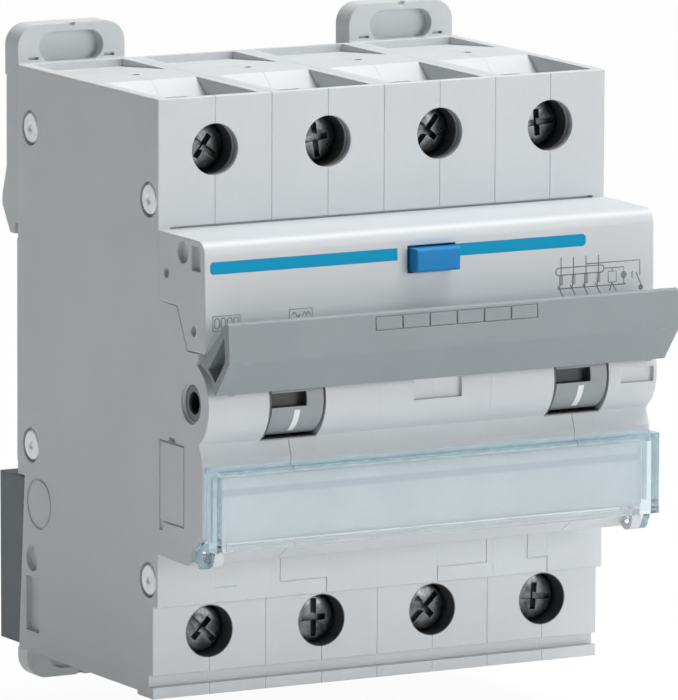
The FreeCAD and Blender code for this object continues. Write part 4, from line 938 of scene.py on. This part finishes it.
# Label card: a plain card with a faint tooth and a darker strip near its top, a painted reflection of the
# cover's bulge, cut to the label zone and held there by the clear cover.
paper = surface("card", moulded, {
    "Color": shade(205, 211, 215), "Roughness": 0.75, "Grain Size": 0.0003, "Grain Depth": 0.5,
    "Clouding": 0.03, "Edge Light": 0.0}, IOR=1.45)
# Painted reflection: a darker strip across the card near its top, where the cover's bulge is mirrored.
STRIP_LOW, STRIP_HIGH, STRIP_FADE = 2.4 * MM, 1.4 * MM, 0.35 * MM
card_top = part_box("label_card")[1].z
tint(paper, between("Z", card_top - STRIP_LOW, card_top - STRIP_HIGH, STRIP_FADE), shade(186, 194, 200))
dress(paper, "label_card")


# Label cover: a clear moulded tray with polished faces and a faint blue cast at its
# walls, hinged on two pins at its lower corners.
clear = surface("clear cover", moulded, {
    "Color": shade(250, 253, 254), "Roughness": 0.04, "Grain Size": 0.004, "Grain Depth": 0.0,
    "Clouding": 0.0, "Edge Light": 0.0, "Edge Width": 0.0003}, IOR=1.25, Transmission_Weight=1.0)
RIM, FOOT_RIM, RIM_FADE = 0.5 * MM, 1.0 * MM, 0.2 * MM
tray_low, tray_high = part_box("label_cover")
for axis, low, high in (("X", tray_low.x - MM, tray_low.x + RIM),
                        ("X", tray_high.x - RIM, tray_high.x + MM),
                        ("Z", tray_low.z - MM, tray_low.z + FOOT_RIM),
                        ("Z", tray_high.z - RIM, tray_high.z + MM)):
    tint(clear, between(axis, low, high, RIM_FADE), shade(216, 240, 248))
dress(clear, "label_cover")


# Stage: a plain pale floor, low enough for the lower clips' travel, that sweeps up into
# the backdrop, two softboxes, and the camera at the object's front left.
CLIP_TRAVEL = 4.1 * MM
FLOOR_HALF, FLOOR_FRONT = 6.0, -5.0
BEND_FROM, BEND_RADIUS, WALL_TOP = 4.0, 1.5, 6.0
FLOOR_SHADE, FLOOR_GLOW = 0.86, 0.95
floor_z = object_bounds()[0].z - CLIP_TRAVEL
work = bmesh.new()
sweep = [(FLOOR_FRONT, 0.0), (BEND_FROM, 0.0)]
for angle in range(10, 91, 10):
    turn = math.radians(angle)
    sweep.append((BEND_FROM + BEND_RADIUS * math.sin(turn), BEND_RADIUS - BEND_RADIUS * math.cos(turn)))
sweep.append((BEND_FROM + BEND_RADIUS, WALL_TOP))
rows = [[work.verts.new((x, y, floor_z + z)) for y, z in sweep] for x in (-FLOOR_HALF, FLOOR_HALF)]
for n in range(len(sweep) - 1):
    work.faces.new((rows[0][n], rows[0][n + 1], rows[1][n + 1], rows[1][n])).smooth = True
mesh = bpy.data.meshes.new("floor")
work.to_mesh(mesh)
work.free()
floor = bpy.data.objects.new("floor", mesh)
bpy.context.scene.collection.objects.link(floor)
pale = bpy.data.materials.new("pale sweep")
pale.use_nodes = True
tree = pale.node_tree
rays = add(tree, "ShaderNodeLightPath").outputs
bent = math_of(tree, "MAXIMUM", rays["Is Glossy Ray"], rays["Is Transmission Ray"])
seen = math_of(tree, "MAXIMUM", rays["Is Camera Ray"], bent)
lit = tree.nodes["Principled BSDF"]
lit.inputs["Base Color"].default_value = (FLOOR_SHADE, FLOOR_SHADE, FLOOR_SHADE, 1)
lit.inputs["Roughness"].default_value = 0.9
glow = add(tree, "ShaderNodeEmission", {"Color": (1, 1, 1, 1), "Strength": 1.0}).outputs[0]
mixed = add(tree, "ShaderNodeMixShader", {
    0: math_of(tree, "MULTIPLY", seen, FLOOR_GLOW), 1: lit.outputs[0], 2: glow})
tree.links.new(mixed.outputs[0], tree.nodes["Material Output"].inputs["Surface"])
mesh.materials.append(pale)

AMBIENT = 0.175
world = bpy.data.worlds.new("studio")
world.use_nodes = True
bpy.context.scene.world = world
tree = world.node_tree
rays = add(tree, "ShaderNodeLightPath").outputs
seen = math_of(tree, "MAXIMUM", rays["Is Camera Ray"], rays["Is Transmission Ray"])
tree.links.new(ranged(tree, seen, 0.0, 1.0, AMBIENT, 1.0), tree.nodes["Background"].inputs["Strength"])
tree.nodes["Background"].inputs["Color"].default_value = (1, 1, 1, 1)


AIM = Vector((0, -0.025, 0))


def softbox(name, place, size, watts):
    """A square area light aimed at the middle of the object."""
    lamp = bpy.data.lights.new(name, "AREA")
    lamp.size = size
    lamp.energy = watts
    box = bpy.data.objects.new(name, lamp)
    bpy.context.scene.collection.objects.link(box)
    turned = (AIM - Vector(place)).to_track_quat("-Z", "Y").to_matrix().to_4x4()
    box.matrix_world = Matrix.Translation(place) @ turned


softbox("overhead", (0.38, -0.12, 1.2), size=0.8, watts=17.0)
softbox("front", (0.7, -1.3, 0.14), size=0.8, watts=10.6)

LENS, SENSOR = 515.5, 36.0
AZIMUTH, ELEVATION, ROLL = (math.radians(value) for value in (-28.949, 9.038, 0.23))
DISTANCE, ASIDE, ABOVE = 1.4074, 0.0023, 0.000825
camera = bpy.data.cameras.new("camera")
camera.lens = LENS
camera.sensor_width = SENSOR
camera.clip_start, camera.clip_end = 0.05, 20.0
eye = bpy.data.objects.new("camera", camera)
bpy.context.scene.collection.objects.link(eye)
away = Vector((math.sin(AZIMUTH) * math.cos(ELEVATION), -math.cos(AZIMUTH) * math.cos(ELEVATION),
               math.sin(ELEVATION)))
level = away.cross(Vector((0, 0, -1))).normalized()
upward = level.cross(-away)
right = math.cos(ROLL) * level + math.sin(ROLL) * upward
up = math.cos(ROLL) * upward - math.sin(ROLL) * level
spot = AIM + away * DISTANCE + right * ASIDE + up * ABOVE
eye.matrix_world = Matrix.Translation(spot) @ Matrix((right, up, away)).transposed().to_4x4()
bpy.context.scene.camera = eye
bpy.context.scene.view_settings.view_transform = "Standard"
